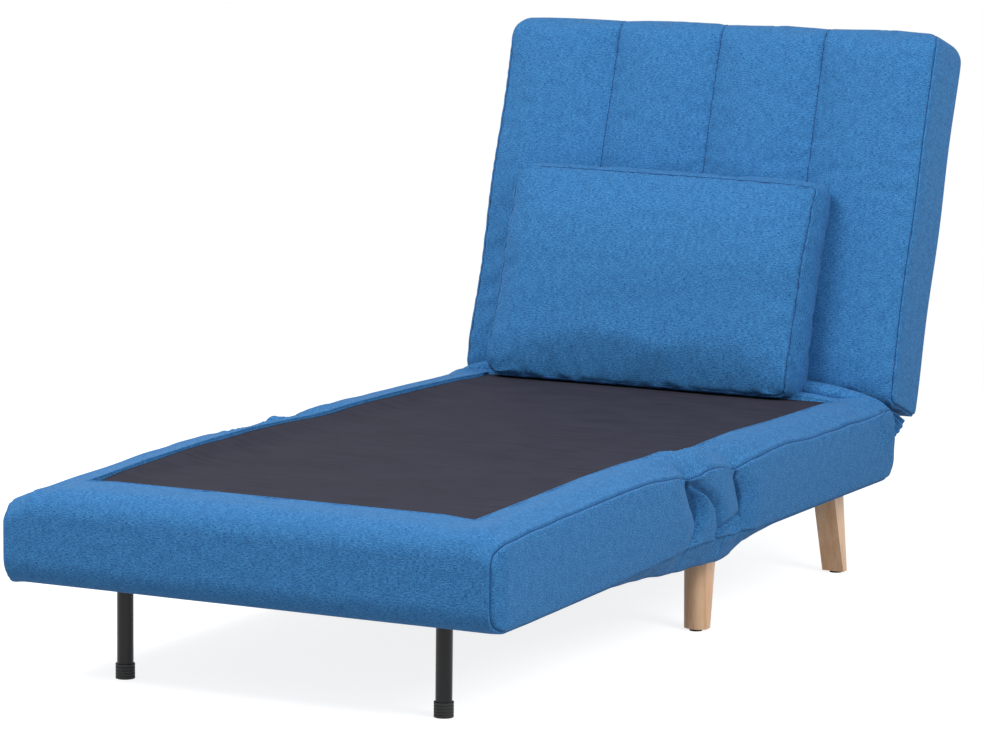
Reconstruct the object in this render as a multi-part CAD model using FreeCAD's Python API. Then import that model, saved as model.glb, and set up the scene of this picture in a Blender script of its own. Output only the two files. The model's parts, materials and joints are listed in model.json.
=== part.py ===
"""Fold-out futon sofa bed, shown unfolded, in millimetres.

+Z is up and -Y is the foot end. The front section folds over the seat section about a line along X, and
the backrest reclines about another. Everything is built with the foot end at Y = 0, and the backrest and
pillow are built lying flat behind the seat, as in the bed. At the end the backrest is leaned up, and the
whole sofa bed is moved so that its origin is the centre of its footprint, on the floor.
"""
import math
import os

import FreeCAD
import Part
from FreeCAD import Vector

# Overall sizes
WIDTH = 730.0
DECK_HEIGHT = 260.0
SECTION_THICKNESS = 122.0
FRONT_LENGTH = 648.0
SEAT_LENGTH = 660.0
BACK_LENGTH = 568.0
BACK_THICKNESS = 110.0
BACK_LEAN = 16.5
FOLD_GAP = 10.0

# Covers, foam and cloth
COVER = 1.2
FIT = 0.3
SECTION_CORNER = 34.0
FOLD_CORNER = 12.0
SEAT_REAR_TOP_CORNER = 30.0
SIDE_ROUND = 6.0
BACK_CORNER = 28.0
CLOTH = 1.0
CLOTH_SIDE_BORDER = 78.0
CLOTH_END_BORDER = 94.0
CLOTH_REAR_BORDER = 60.0
DUST_COVER_INSET = 120.0
DUST_COVER_END_INSET = 20.0

# Frames of square tube
TUBE = 25.0
TUBE_WALL = 1.5
SEAT_FRAME_HALF = 317.5
OUTER_FRAME_HALF = 321.0
FRAME_END_INSET = 50.0
SEAT_FRAME_END_INSET = 48.0
FOLD_END_INSET = 16.0
SEAT_FRAME_LIFT = 5.0
FRONT_FRAME_DROP = 5.0
BACK_FRAME_LIFT = 15.0

# Springs of wire, in each frame
SPRING_WIRE = 1.8
SPRING_COUNT = 5
SPRING_SPREAD = 386.0
SPRING_SWING = 20.0
SPRING_PITCH = 24.0
SPRING_PLAY = 0.1
CLIP_LENGTH = 16.0
CLIP_SIZE = 8.0

# Hinges
PLATE = 3.0
PLATE_GAP = 0.5
SLOT_PLAY = 2.0
FOLD_SLOT_LENGTH = 80.0
SEAT_RECLINE_SLOT_LENGTH = 120.0
FOLD_AXIS_RISE = 1.0
FOLD_EYE = 6.5
FOLD_PIN = 3.0
RECLINE_DROP = 9.0
RECLINE_SETBACK = 1.7
RECLINE_EYE = 12.0
RECLINE_HUB = 14.0
RECLINE_PIN = 4.0
RECLINE_SLOT_LENGTH = 116.0
PIN_PLAY = 0.05
BOLT = 3.0
BOLT_HEAD = 5.5
BOLT_HEAD_HEIGHT = 3.0
PAWL_BACK = 21.0
PAWL_DROP = 29.0
PAWL_ROD = 4.0
COIL_WIRE = 0.9
COIL_TURNS = 3

# Tube legs of the front section
TUBE_LEG_SPREAD = 476.0
TUBE_LEG_SETBACK = 108.0
TUBE_LEG_RADIUS = 11.0
TUBE_LEG_PIVOT_HEIGHT = 172.0
TUBE_LEG_BOLT = 3.0
LEG_WELL_WIDTH = 36.0
LEG_WELL_PLAY = 6.0
BRACKET_WALL = 2.5
BRACKET_TO_SPRING = 45.0
CAP_RADIUS = 13.0
CAP_HEIGHT = 20.0
CAP_FLOOR = 3.0
CAP_RINGS = 4

# Wooden legs of the seat section
WOOD_WIDTH = 34.0
WOOD_TOP_DEPTH = 46.0
WOOD_FOOT_DEPTH = 22.0
WOOD_BULGE = 8.0
WOOD_SPLAY = 9.0
WOOD_SPLAY_SIDE = 6.0
WOOD_TOP_SPREAD = 566.0
WOOD_FRONT_SETBACK = 137.0
GLIDE_HEIGHT = 3.0
MOUNT_PLATE = 3.0
MOUNT_PLATE_WIDTH = 67.0
MOUNT_PLATE_INNER = 35.0
MOUNT_PLATE_OUTER = 20.0
LEG_SCREW = 4.0
LEG_SCREW_DEPTH = 45.0
LEG_NUT_HEIGHT = 5.0

# Lumbar pillow
PILLOW_WIDTH = 497.0
PILLOW_HEIGHT = 316.0
PILLOW_THICKNESS = 88.0
PILLOW_OFFSET = -24.0
PILLOW_START = -3.0
PILLOW_CORNER = 18.0
PILLOW_CREASE_CORNER = 40.0
PILLOW_SIDE_ROUND = 10.0
PILLOW_COVER = 1.0
ZIP_WIDTH = 8.0
ZIP_END_INSET = 60.0

# Places that follow from the sizes
SECTION_BOTTOM = DECK_HEIGHT - SECTION_THICKNESS
SEAT_START = FRONT_LENGTH + FOLD_GAP
SEAT_END = SEAT_START + SEAT_LENGTH
FOLD_Y = FRONT_LENGTH + FOLD_GAP / 2
FOLD_Z = DECK_HEIGHT + FOLD_AXIS_RISE
RECLINE_Y = SEAT_END + RECLINE_SETBACK
RECLINE_Z = DECK_HEIGHT - RECLINE_DROP
BACK_START = SEAT_END + 4.4
BACK_END = BACK_START + BACK_LENGTH
BACK_BOTTOM = DECK_HEIGHT - BACK_THICKNESS
CLOTH_HALF = WIDTH / 2 - CLOTH_SIDE_BORDER
SEAT_FRAME_BOTTOM = SECTION_BOTTOM + SEAT_FRAME_LIFT
FRONT_FRAME_TOP = DECK_HEIGHT - FRONT_FRAME_DROP
FRONT_FRAME_BOTTOM = FRONT_FRAME_TOP - TUBE
BACK_FRAME_BOTTOM = BACK_BOTTOM + BACK_FRAME_LIFT
INNER_PLATE = SEAT_FRAME_HALF
OUTER_PLATE = SEAT_FRAME_HALF + PLATE + PLATE_GAP
SLOT_INNER = INNER_PLATE - SLOT_PLAY
SLOT_OUTER = OUTER_PLATE + PLATE + BOLT_HEAD_HEIGHT + SLOT_PLAY
PAWL_Y = RECLINE_Y - PAWL_BACK
PAWL_Z = RECLINE_Z - PAWL_DROP
SEAT_FRAME_START = SEAT_START + FOLD_END_INSET
SEAT_FRAME_END = SEAT_END - SEAT_FRAME_END_INSET
WOOD_FRONT_Y = SEAT_START + WOOD_FRONT_SETBACK
WOOD_REAR_Y = SEAT_FRAME_END - TUBE / 2
BRACKET_WEB = TUBE_LEG_SETBACK - math.sqrt(2) * TUBE_LEG_RADIUS - 1
LEAN_UP = 90.0 - BACK_LEAN
ALONG_X = Vector(1, 0, 0)

parts = {}


def box(x0, x1, y0, y1, z0, z1):
    """A block between two corners, whichever way round each pair is given."""
    low = Vector(min(x0, x1), min(y0, y1), min(z0, z1))
    return Part.makeBox(abs(x1 - x0), abs(y1 - y0), abs(z1 - z0), low)


def rod(x, y, z, radius, length, along=ALONG_X):
    """A round bar that starts at a point."""
    return Part.makeCylinder(radius, length, Vector(x, y, z), along)


def mirrored(shape):
    return shape.mirror(Vector(0, 0, 0), ALONG_X)


def both_sides(shape):
    """The shape and its mirror image, as two solids."""
    return Part.makeCompound([shape, mirrored(shape)])


def cut_all(shape, tools):
    for tool in tools:
        shape = shape.cut(tool)
    return shape


def fuse_all(shapes):
    whole = shapes[0]
    for shape in shapes[1:]:
        whole = whole.fuse(shape)
    return whole.removeSplitter()


def rounded_outline(y0, y1, z0, z1, corners):
    """A rectangle in the YZ plane with its own radius at each corner.

    The corners are those at (y0, z0), (y1, z0), (y1, z1) and (y0, z1).
    """
    points = [(y0, z0), (y1, z0), (y1, z1), (y0, z1)]
    ways = [(1, 0), (0, 1), (-1, 0), (0, -1)]
    edges = []
    for i in range(4):
        y, z = points[i]
        arrive, leave, r = ways[i - 1], ways[i], corners[i]
        start = Vector(0, y - arrive[0] * r, z - arrive[1] * r)
        end = Vector(0, y + leave[0] * r, z + leave[1] * r)
        centre = Vector(0, y + (leave[0] - arrive[0]) * r, z + (leave[1] - arrive[1]) * r)
        middle = centre + (Vector(0, y, z) - centre).normalize() * r
        edges.append(Part.Arc(start, middle, end).toShape())
        following = (i + 1) % 4
        y2, z2 = points[following]
        r2 = corners[following]
        stop = Vector(0, y2 - leave[0] * r2, z2 - leave[1] * r2)
        edges.append(Part.LineSegment(end, stop).toShape())
    return Part.Wire(edges)


def cushion(half_width, y0, y1, z0, z1, corners, side_round):
    """A padded block across the sofa bed, with rounded sides."""
    outline = rounded_outline(y0, y1, z0, z1, corners)
    face = Part.Face(outline)
    face.translate(Vector(-half_width, 0, 0))
    solid = face.extrude(Vector(2 * half_width, 0, 0))
    rims = [e for e in solid.Edges if abs(abs(e.CenterOfMass.x) - half_width) < 0.01]
    return solid.makeFillet(side_round, rims)


def nested_cushions(y0, y1, z0, z1, corners):
    """The outside of a cover, its inside, and the outside of the foam in it."""
    shapes = []
    for inset in (0.0, COVER, COVER + FIT):
        inner_corners = [r - inset for r in corners]
        half = WIDTH / 2 - inset
        shapes.append(
            cushion(half, y0 + inset, y1 - inset, z0 + inset, z1 - inset, inner_corners, SIDE_ROUND - inset)
        )
    return shapes


def tube_frame(half, y0, y1, z0, crossbars):
    """A welded frame of square tube: two side rails, and crossbars from rail to rail."""
    inner = TUBE - 2 * TUBE_WALL
    z1, middle = z0 + TUBE, z0 + TUBE_WALL
    solid, hollow = [], []
    for side in (-1, 1):
        solid.append(box(side * (half - TUBE), side * half, y0, y1, z0, z1))
        rail = side * (half - TUBE_WALL)
        hollow.append(box(rail - side * inner, rail, y0 - 1, y1 + 1, middle, middle + inner))
    for y in crossbars:
        solid.append(box(-half + 1, half - 1, y, y + TUBE, z0, z1))
        run = half - TUBE_WALL - 1
        hollow.append(box(-run, run, y + TUBE_WALL, y + TUBE_WALL + inner, middle, middle + inner))
    return fuse_all(solid).cut(fuse_all(hollow)).removeSplitter()


def zigzag_spring(x, y0, y1, z):
    """A sinuous spring: straight runs across, joined by half turns, from y0 to y1."""
    turns = round((y1 - y0) / SPRING_PITCH / 2) * 2
    radius = (y1 - y0) / turns / 2
    swing = SPRING_SWING - radius
    edges = []
    for turn in range(turns + 1):
        side = -1 if turn % 2 else 1
        y = y0 + 2 * radius * turn
        end = Vector(x + side * swing, y, z)
        edges.append(Part.LineSegment(Vector(x - side * swing, y, z), end).toShape())
        if turn < turns:
            over = Vector(x + side * (swing + radius), y + radius, z)
            edges.append(Part.Arc(end, over, end + Vector(0, 2 * radius, 0)).toShape())
    start = Vector(x - swing, y0, z)
    ring = Part.Wire(Part.makeCircle(SPRING_WIRE, start, ALONG_X))
    return Part.Wire(edges).makePipeShell([ring], True, False, 1)


def spring_clip(x, y, z):
    """A block on a crossbar that holds one end run of a spring."""
    half, across = CLIP_LENGTH / 2, CLIP_SIZE / 2
    block = box(x - half, x + half, y - across, y + across, z - across, z + across)
    return block.cut(rod(x - half - 1, y, z, SPRING_WIRE + SPRING_PLAY, CLIP_LENGTH + 2))


def spring_set(spread, first_bar, last_bar, bar_face, above):
    """Springs between the middles of two crossbars, and the clips that hold them."""
    y0, y1 = first_bar + TUBE / 2, last_bar + TUBE / 2
    z = bar_face + above * CLIP_SIZE / 2
    spacing = spread / (SPRING_COUNT - 1)
    places = [spacing * (i - (SPRING_COUNT - 1) / 2) for i in range(SPRING_COUNT)]
    first = zigzag_spring(places[0], y0, y1, z)
    springs = [first.translated(Vector(x - places[0], 0, 0)) for x in places]
    clips = [spring_clip(x, y, z) for x in places for y in (y0, y1)]
    return Part.makeCompound(springs), Part.makeCompound(clips)


def plate(points, x, eye, eye_radius):
    """A flat plate of PLATE thickness from x outwards: an outline in YZ joined to a round eye."""
    corners = [Vector(x, y, z) for y, z in points]
    outline = Part.makePolygon(corners + corners[:1])
    blade = Part.Face(outline).extrude(Vector(PLATE, 0, 0))
    return blade.fuse(rod(x, eye[0], eye[1], eye_radius, PLATE)).removeSplitter()


def bolt(x, y, z):
    """A bolt whose head rests on a plate's outer face, with its shank in the tube's wall."""
    shank_length = PLATE + TUBE_WALL + 4
    head = rod(x + PLATE, y, z, BOLT_HEAD, BOLT_HEAD_HEIGHT)
    return head.fuse(rod(x + PLATE - shank_length, y, z, BOLT, shank_length + 1)).removeSplitter()


def bolt_holes(x, places):
    return [rod(x - TUBE_WALL - 1, y, z, BOLT + PIN_PLAY, PLATE + TUBE_WALL + 2) for y, z in places]


def rivet(x0, x1, y, z, radius):
    """A pin along X with a flat head at each end."""
    head = PLATE / 2
    pin = rod(x0 - head, y, z, radius, x1 - x0 + 2 * head)
    heads = [rod(x0 - head, y, z, radius + 2, head), rod(x1, y, z, radius + 2, head)]
    return fuse_all([pin] + heads)


def hinge_slot(y0, y1, z0, z1):
    """Room in a cover and its foam, on both sides, for the hinge plates."""
    return [box(side * SLOT_INNER, side * SLOT_OUTER, y0, y1, z0, z1) for side in (-1, 1)]


# Where the bolts of each plate go, in Y and Z, at the middle of the rail's height
SEAT_RAIL_MIDDLE = SEAT_FRAME_BOTTOM + TUBE / 2
FRONT_RAIL_MIDDLE = FRONT_FRAME_BOTTOM + TUBE / 2
BACK_RAIL_MIDDLE = BACK_FRAME_BOTTOM + TUBE / 2
FOLD_SEAT_BOLTS = [(FOLD_Y + 27, SEAT_RAIL_MIDDLE), (FOLD_Y + 51, SEAT_RAIL_MIDDLE)]
FOLD_FRONT_BOLTS = [(FOLD_Y - 31, FRONT_RAIL_MIDDLE), (FOLD_Y - 57, FRONT_RAIL_MIDDLE)]
RECLINE_SEAT_BOLTS = [(RECLINE_Y - 104, SEAT_RAIL_MIDDLE), (RECLINE_Y - 64, SEAT_RAIL_MIDDLE)]
RECLINE_BACK_BOLTS = [(RECLINE_Y + 48, BACK_RAIL_MIDDLE), (RECLINE_Y + 80, BACK_RAIL_MIDDLE)]


def fold_hinges():
    """Plates on the seat frame and arms on the front frame, turning on a rivet above the deck."""
    low, high = SEAT_FRAME_BOTTOM + 1, SEAT_FRAME_BOTTOM + TUBE - 1
    y, z = FOLD_Y, FOLD_Z
    base_outline = [
        (y - 4.5, z - 4.5), (y + 11, z - 31), (y + 11, low), (y + 67, low),
        (y + 67, high), (y + 35, high + 14), (y + 35, z - 35), (y + 5, z + 4),
    ]
    rail_low, rail_high = FRONT_FRAME_BOTTOM + 1, FRONT_FRAME_TOP - 1
    arm_outline = [
        (y + 4.5, z - 4.5), (y - 4, z - 9), (y - 16, rail_low), (y - 72, rail_low),
        (y - 72, rail_high), (y - 14, rail_high), (y - 4, z + 5),
    ]
    hole = rod(0, y, z, FOLD_PIN + PIN_PLAY, WIDTH)
    base = plate(base_outline, INNER_PLATE, (y, z), FOLD_EYE)
    base = cut_all(base, [hole] + bolt_holes(INNER_PLATE, FOLD_SEAT_BOLTS))
    arm = plate(arm_outline, OUTER_PLATE, (y, z), FOLD_EYE)
    arm = cut_all(arm, [hole] + bolt_holes(OUTER_PLATE, FOLD_FRONT_BOLTS))
    pin = rivet(INNER_PLATE - PIN_PLAY, OUTER_PLATE + PLATE + PIN_PLAY, y, z, FOLD_PIN)
    parts["right_fold_hinge_base"], parts["left_fold_hinge_base"] = base, mirrored(base)
    parts["right_fold_hinge_arm"], parts["left_fold_hinge_arm"] = arm, mirrored(arm)
    parts["fold_hinge_pins"] = both_sides(pin)


def ratchet_notches():
    """Five notches in the hub's rim, under and ahead of the axis when the backrest is up."""
    notches = []
    for step in range(5):
        angle = math.radians(150 + step * BACK_LEAN)
        y = RECLINE_Y + RECLINE_HUB * math.cos(angle)
        z = RECLINE_Z + RECLINE_HUB * math.sin(angle)
        notches.append(rod(OUTER_PLATE - 1, y, z, 1.6, PLATE + 2))
    return notches


def recline_hinges():
    """Plates on the seat frame and toothed arms on the backrest frame, with pawls and their springs."""
    low, high = SEAT_FRAME_BOTTOM + 1, SEAT_FRAME_BOTTOM + TUBE - 1
    y, z = RECLINE_Y, RECLINE_Z
    base_outline = [
        (y - 116, low), (y - 42, low), (y - 10, z - 46), (y + 11, z - 6),
        (y - 9, z + 8), (y - 34, z - 20), (y - 50, high + 12), (y - 116, high),
    ]
    rail_low, rail_high = BACK_FRAME_BOTTOM + 1, BACK_FRAME_BOTTOM + TUBE - 1
    arm_outline = [
        (y - 8, z - 9), (y + 30, rail_low), (y + 94, rail_low), (y + 94, rail_high),
        (y + 44, rail_high + 8), (y + 10, z + 8),
    ]
    hole = rod(0, y, z, RECLINE_PIN + PIN_PLAY, WIDTH)
    rod_hole = rod(0, PAWL_Y, PAWL_Z, PAWL_ROD + PIN_PLAY, WIDTH)
    base = plate(base_outline, INNER_PLATE, (y, z), RECLINE_EYE)
    base = cut_all(base, [hole, rod_hole] + bolt_holes(INNER_PLATE, RECLINE_SEAT_BOLTS))
    arm = plate(arm_outline, OUTER_PLATE, (y, z), RECLINE_HUB)
    arm = cut_all(arm, [hole] + ratchet_notches() + bolt_holes(OUTER_PLATE, RECLINE_BACK_BOLTS))
    pin = rivet(INNER_PLATE - PIN_PLAY, OUTER_PLATE + PLATE + PIN_PLAY, y, z, RECLINE_PIN)
    parts["right_recline_hinge_base"], parts["left_recline_hinge_base"] = base, mirrored(base)
    parts["right_recline_hinge_arm"], parts["left_recline_hinge_arm"] = arm, mirrored(arm)
    parts["recline_hinge_pins"] = both_sides(pin)
    pawls_and_rod(rod_hole)


def pawls_and_rod(rod_hole):
    """A pawl beside each toothed hub, a spring on it, and the rod that joins both pawls."""
    away = Vector(0, RECLINE_Y - PAWL_Y, RECLINE_Z - PAWL_Z)
    reach = away.Length - RECLINE_HUB - FIT
    along = Vector(away).normalize()
    across = Vector(0, -along.z, along.y)
    pivot = Vector(OUTER_PLATE, PAWL_Y, PAWL_Z)
    tip = pivot + along * reach
    corners = [pivot + across * 5, tip + across * 1.5, tip - across * 1.5, pivot - across * 5]
    blade = Part.Face(Part.makePolygon(corners + corners[:1])).extrude(Vector(PLATE, 0, 0))
    hub = rod(OUTER_PLATE, PAWL_Y, PAWL_Z, PAWL_ROD + 3, PLATE)
    pawl = blade.fuse(hub).removeSplitter().cut(rod_hole)
    end = OUTER_PLATE + PLATE + BOLT_HEAD_HEIGHT
    coil_start = OUTER_PLATE + PLATE + FIT
    coil = rod(coil_start, PAWL_Y, PAWL_Z, PAWL_ROD + COIL_WIRE + FIT, COIL_TURNS * COIL_WIRE)
    coil = coil.cut(rod(coil_start - 1, PAWL_Y, PAWL_Z, PAWL_ROD + FIT, COIL_TURNS * COIL_WIRE + 2))
    for turn in range(1, COIL_TURNS):
        centre = Vector(coil_start + turn * COIL_WIRE, PAWL_Y, PAWL_Z)
        coil = coil.cut(Part.makeTorus(PAWL_ROD + COIL_WIRE + FIT, COIL_WIRE / 4, centre, ALONG_X))
    parts["recline_pawls"] = both_sides(pawl)
    parts["pawl_springs"] = both_sides(coil)
    parts["pawl_rod"] = rod(-end, PAWL_Y, PAWL_Z, PAWL_ROD, 2 * end)


def hinge_bolts():
    parts["seat_hinge_bolts"] = Part.makeCompound(
        [both_sides(bolt(INNER_PLATE, y, z)) for y, z in FOLD_SEAT_BOLTS + RECLINE_SEAT_BOLTS]
    )
    parts["front_hinge_bolts"] = Part.makeCompound(
        [both_sides(bolt(OUTER_PLATE, y, z)) for y, z in FOLD_FRONT_BOLTS]
    )
    parts["back_hinge_bolts"] = Part.makeCompound(
        [both_sides(bolt(OUTER_PLATE, y, z)) for y, z in RECLINE_BACK_BOLTS]
    )


def drilled_frame(half, plate_x, y0, y1, z0, crossbars, bolts):
    frame = tube_frame(half, y0, y1, z0, crossbars)
    holes = bolt_holes(plate_x, bolts)
    holes += [mirrored(hole) for hole in holes]
    return cut_all(frame, holes)


def cloth_panel(y0, y1):
    """The black cloth in the window of a section's cover."""
    half = CLOTH_HALF - FIT
    return box(-half, half, y0 + FIT, y1 - FIT, DECK_HEIGHT - COVER, DECK_HEIGHT - COVER + CLOTH)


def front_section():
    corners = [SECTION_CORNER, FOLD_CORNER, FOLD_CORNER, SECTION_CORNER]
    outer, inner, foam = nested_cushions(0, FRONT_LENGTH, SECTION_BOTTOM, DECK_HEIGHT, corners)
    y0, y1 = FRAME_END_INSET, FRONT_LENGTH - FOLD_END_INSET
    window_end = FRONT_LENGTH - FOLD_CORNER - 4
    window = box(-CLOTH_HALF, CLOTH_HALF, CLOTH_END_BORDER, window_end, DECK_HEIGHT - 5, DECK_HEIGHT + 5)
    slots = hinge_slot(FOLD_Y - FOLD_SLOT_LENGTH, FOLD_Y, FRONT_FRAME_BOTTOM - 3, DECK_HEIGHT + 5)
    tray = box(-OUTER_FRAME_HALF - FIT, OUTER_FRAME_HALF + FIT, y0 - FIT, y1 + FIT,
               FRONT_FRAME_BOTTOM - FIT, DECK_HEIGHT + 5)
    wells, mouths = leg_wells(y0)
    parts["front_cover"] = cut_all(outer.cut(inner), [window] + slots + mouths)
    parts["front_foam"] = cut_all(foam, [tray] + slots + wells)
    parts["front_top_cloth"] = cloth_panel(CLOTH_END_BORDER, window_end)
    last = y1 - TUBE
    frame = drilled_frame(OUTER_FRAME_HALF, OUTER_PLATE, y0, y1, FRONT_FRAME_BOTTOM, [y0, last],
                          FOLD_FRONT_BOLTS)
    parts["front_frame"] = frame
    parts["front_springs"], parts["front_spring_clips"] = spring_set(
        TUBE_LEG_SPREAD - 2 * BRACKET_TO_SPRING, y0, last, FRONT_FRAME_BOTTOM, -1)
    clip_room = box(-OUTER_FRAME_HALF + TUBE, OUTER_FRAME_HALF - TUBE, y0 - FIT, y1 + FIT,
                    FRONT_FRAME_BOTTOM - CLIP_SIZE - FIT, FRONT_FRAME_BOTTOM)
    parts["front_foam"] = parts["front_foam"].cut(clip_room)


def leg_wells(frame_start):
    """The room in the foam that a tube leg folds into, and the zipped mouth of it in the cover."""
    wells, mouths = [], []
    reach = TUBE_LEG_SETBACK + TUBE_LEG_PIVOT_HEIGHT + LEG_WELL_PLAY
    top = TUBE_LEG_PIVOT_HEIGHT + CAP_RADIUS + LEG_WELL_PLAY
    near = BRACKET_WEB - BRACKET_WALL - FIT
    for side in (-1, 1):
        x = side * TUBE_LEG_SPREAD / 2
        half = LEG_WELL_WIDTH / 2
        wells.append(box(x - half, x + half, near, reach, SECTION_BOTTOM - 1, top))
        bracket_end = TUBE_LEG_SETBACK + TUBE_LEG_RADIUS + LEG_WELL_PLAY
        bracket_start = frame_start - FIT
        wells.append(box(x - half, x + half, bracket_start, bracket_end, top - 25, FRONT_FRAME_BOTTOM))
        mouths.append(box(x - half, x + half, near, reach, SECTION_BOTTOM - 1, SECTION_BOTTOM + COVER))
    return wells, mouths


def leg_bracket(x):
    """A channel that hangs from the front crossbar, with a web ahead of the leg that stops it."""
    inner = TUBE_LEG_RADIUS + PLATE_GAP
    outer = inner + BRACKET_WALL
    near, web = FRAME_END_INSET, BRACKET_WEB
    far = TUBE_LEG_SETBACK + TUBE_LEG_RADIUS
    low = TUBE_LEG_PIVOT_HEIGHT - TUBE_LEG_RADIUS
    top = FRONT_FRAME_BOTTOM
    pieces = [box(x - outer, x + outer, near, far, top - BRACKET_WALL, top)]
    for side in (-1, 1):
        pieces.append(box(x + side * inner, x + side * outer, web, far, low, top))
    pieces.append(box(x - outer, x + outer, web - BRACKET_WALL, web, low, top))
    hole = rod(x - outer - 1, TUBE_LEG_SETBACK, TUBE_LEG_PIVOT_HEIGHT, TUBE_LEG_BOLT + PIN_PLAY,
               2 * outer + 2)
    return fuse_all(pieces).cut(hole)


def tube_leg(name, x):
    """A round tube on a bolt under the front section, in a ribbed rubber cap."""
    y, pivot = TUBE_LEG_SETBACK, TUBE_LEG_PIVOT_HEIGHT
    up = Vector(0, 0, 1)
    length = pivot + TUBE_LEG_RADIUS - CAP_FLOOR
    tube = rod(x, y, CAP_FLOOR, TUBE_LEG_RADIUS, length, up)
    tube = tube.cut(rod(x, y, CAP_FLOOR - 1, TUBE_LEG_RADIUS - TUBE_WALL, length + 2, up))
    cross = rod(x - TUBE_LEG_RADIUS - 1, y, pivot, TUBE_LEG_BOLT + PIN_PLAY, 2 * TUBE_LEG_RADIUS + 2)
    parts[name + "_tube_leg"] = tube.cut(cross)
    body = rod(x, y, 0, CAP_RADIUS, CAP_HEIGHT, up)
    groove_gap = CAP_HEIGHT / (CAP_RINGS + 1)
    for ring in range(CAP_RINGS):
        centre = Vector(x, y, groove_gap * (ring + 1))
        body = body.cut(Part.makeTorus(CAP_RADIUS, 0.8, centre, up))
    parts[name + "_leg_cap"] = body.cut(rod(x, y, CAP_FLOOR, TUBE_LEG_RADIUS + PIN_PLAY, CAP_HEIGHT, up))
    inner = TUBE_LEG_RADIUS + PLATE_GAP + BRACKET_WALL
    parts[name + "_leg_bolt"] = fuse_all([
        rod(x - inner - 2, y, pivot, TUBE_LEG_BOLT, 2 * inner + 4),
        rod(x - inner - 2, y, pivot, BOLT_HEAD, 1.8),
        rod(x + inner + 0.2, y, pivot, BOLT_HEAD, 1.8),
    ])


def tube_legs():
    for name, side in (("left", -1), ("right", 1)):
        x = side * TUBE_LEG_SPREAD / 2
        tube_leg(name, x)
        parts[name + "_leg_bracket"] = leg_bracket(x)


def seat_section():
    corners = [FOLD_CORNER, SECTION_CORNER, SEAT_REAR_TOP_CORNER, FOLD_CORNER]
    outer, inner, foam = nested_cushions(SEAT_START, SEAT_END, SECTION_BOTTOM, DECK_HEIGHT, corners)
    y0, y1 = SEAT_FRAME_START, SEAT_FRAME_END
    window_start, window_end = SEAT_START + FOLD_CORNER + 4, SEAT_END - CLOTH_REAR_BORDER
    window = box(-CLOTH_HALF, CLOTH_HALF, window_start, window_end, DECK_HEIGHT - 5, DECK_HEIGHT + 5)
    dust_half = WIDTH / 2 - DUST_COVER_INSET
    dust_window = box(-dust_half, dust_half, y0 + DUST_COVER_END_INSET,
                      y1 - DUST_COVER_END_INSET, SECTION_BOTTOM - 5, SECTION_BOTTOM + 5)
    slots = hinge_slot(FOLD_Y, FOLD_Y + FOLD_SLOT_LENGTH, SECTION_BOTTOM + COVER + FIT, DECK_HEIGHT + 5)
    slots += hinge_slot(RECLINE_Y - SEAT_RECLINE_SLOT_LENGTH, RECLINE_Y + 20,
                        SECTION_BOTTOM + COVER + FIT, DECK_HEIGHT + 5)
    tray = box(-SEAT_FRAME_HALF - FIT, SEAT_FRAME_HALF + FIT, y0 - FIT, y1 + FIT, SECTION_BOTTOM - 5,
               SEAT_FRAME_BOTTOM + TUBE + CLIP_SIZE + FIT)
    rod_room = rod(-WIDTH / 2 - 1, PAWL_Y, PAWL_Z, PAWL_ROD + FIT, WIDTH + 2).common(
        box(-SLOT_OUTER, SLOT_OUTER, 0, 2 * SEAT_END, 0, DECK_HEIGHT))
    screws = leg_screw_holes(LEG_SCREW + FIT, SECTION_BOTTOM - 1, 4)
    parts["seat_cover"] = cut_all(outer.cut(inner), [window, dust_window] + slots + screws)
    parts["seat_foam"] = cut_all(foam, [tray, rod_room] + slots + mount_plates(FIT))
    parts["seat_top_cloth"] = cloth_panel(window_start, window_end)
    parts["seat_dust_cover"] = box(-dust_half + FIT, dust_half - FIT, y0 + DUST_COVER_END_INSET + FIT,
                                        y1 - DUST_COVER_END_INSET - FIT,
                                   SECTION_BOTTOM, SECTION_BOTTOM + COVER)
    last = y1 - TUBE
    frame = drilled_frame(SEAT_FRAME_HALF, INNER_PLATE, y0, y1, SEAT_FRAME_BOTTOM,
                          [y0, WOOD_FRONT_Y - TUBE / 2, last], FOLD_SEAT_BOLTS + RECLINE_SEAT_BOLTS)
    parts["seat_frame"] = cut_all(frame, leg_screw_holes(LEG_SCREW + PIN_PLAY, SEAT_FRAME_BOTTOM - 1,
                                                         TUBE + 2))
    parts["seat_springs"], parts["seat_spring_clips"] = spring_set(
        SPRING_SPREAD, y0, last, SEAT_FRAME_BOTTOM + TUBE, 1)


def wood_leg_places():
    """For each wooden leg: its name, its side, which way it splays in Y, and its middle at the top."""
    places = []
    for name, y, way in (("front", WOOD_FRONT_Y, -1), ("rear", WOOD_REAR_Y, 1)):
        for side_name, side in (("left", -1), ("right", 1)):
            places.append((f"wood_leg_{name}_{side_name}", side, way, y))
    return places


def leg_section(width, depth, z):
    """A D-shaped outline with its flat face at Y = 0 and its round face towards +Y."""
    half, straight = width / 2, depth - WOOD_BULGE
    a, b = Vector(-half, 0, z), Vector(half, 0, z)
    c, d = Vector(half, straight, z), Vector(-half, straight, z)
    edges = [
        Part.LineSegment(a, b), Part.LineSegment(b, c),
        Part.Arc(c, Vector(0, depth, z), d), Part.LineSegment(d, a),
    ]
    return Part.Wire([edge.toShape() for edge in edges])


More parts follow.
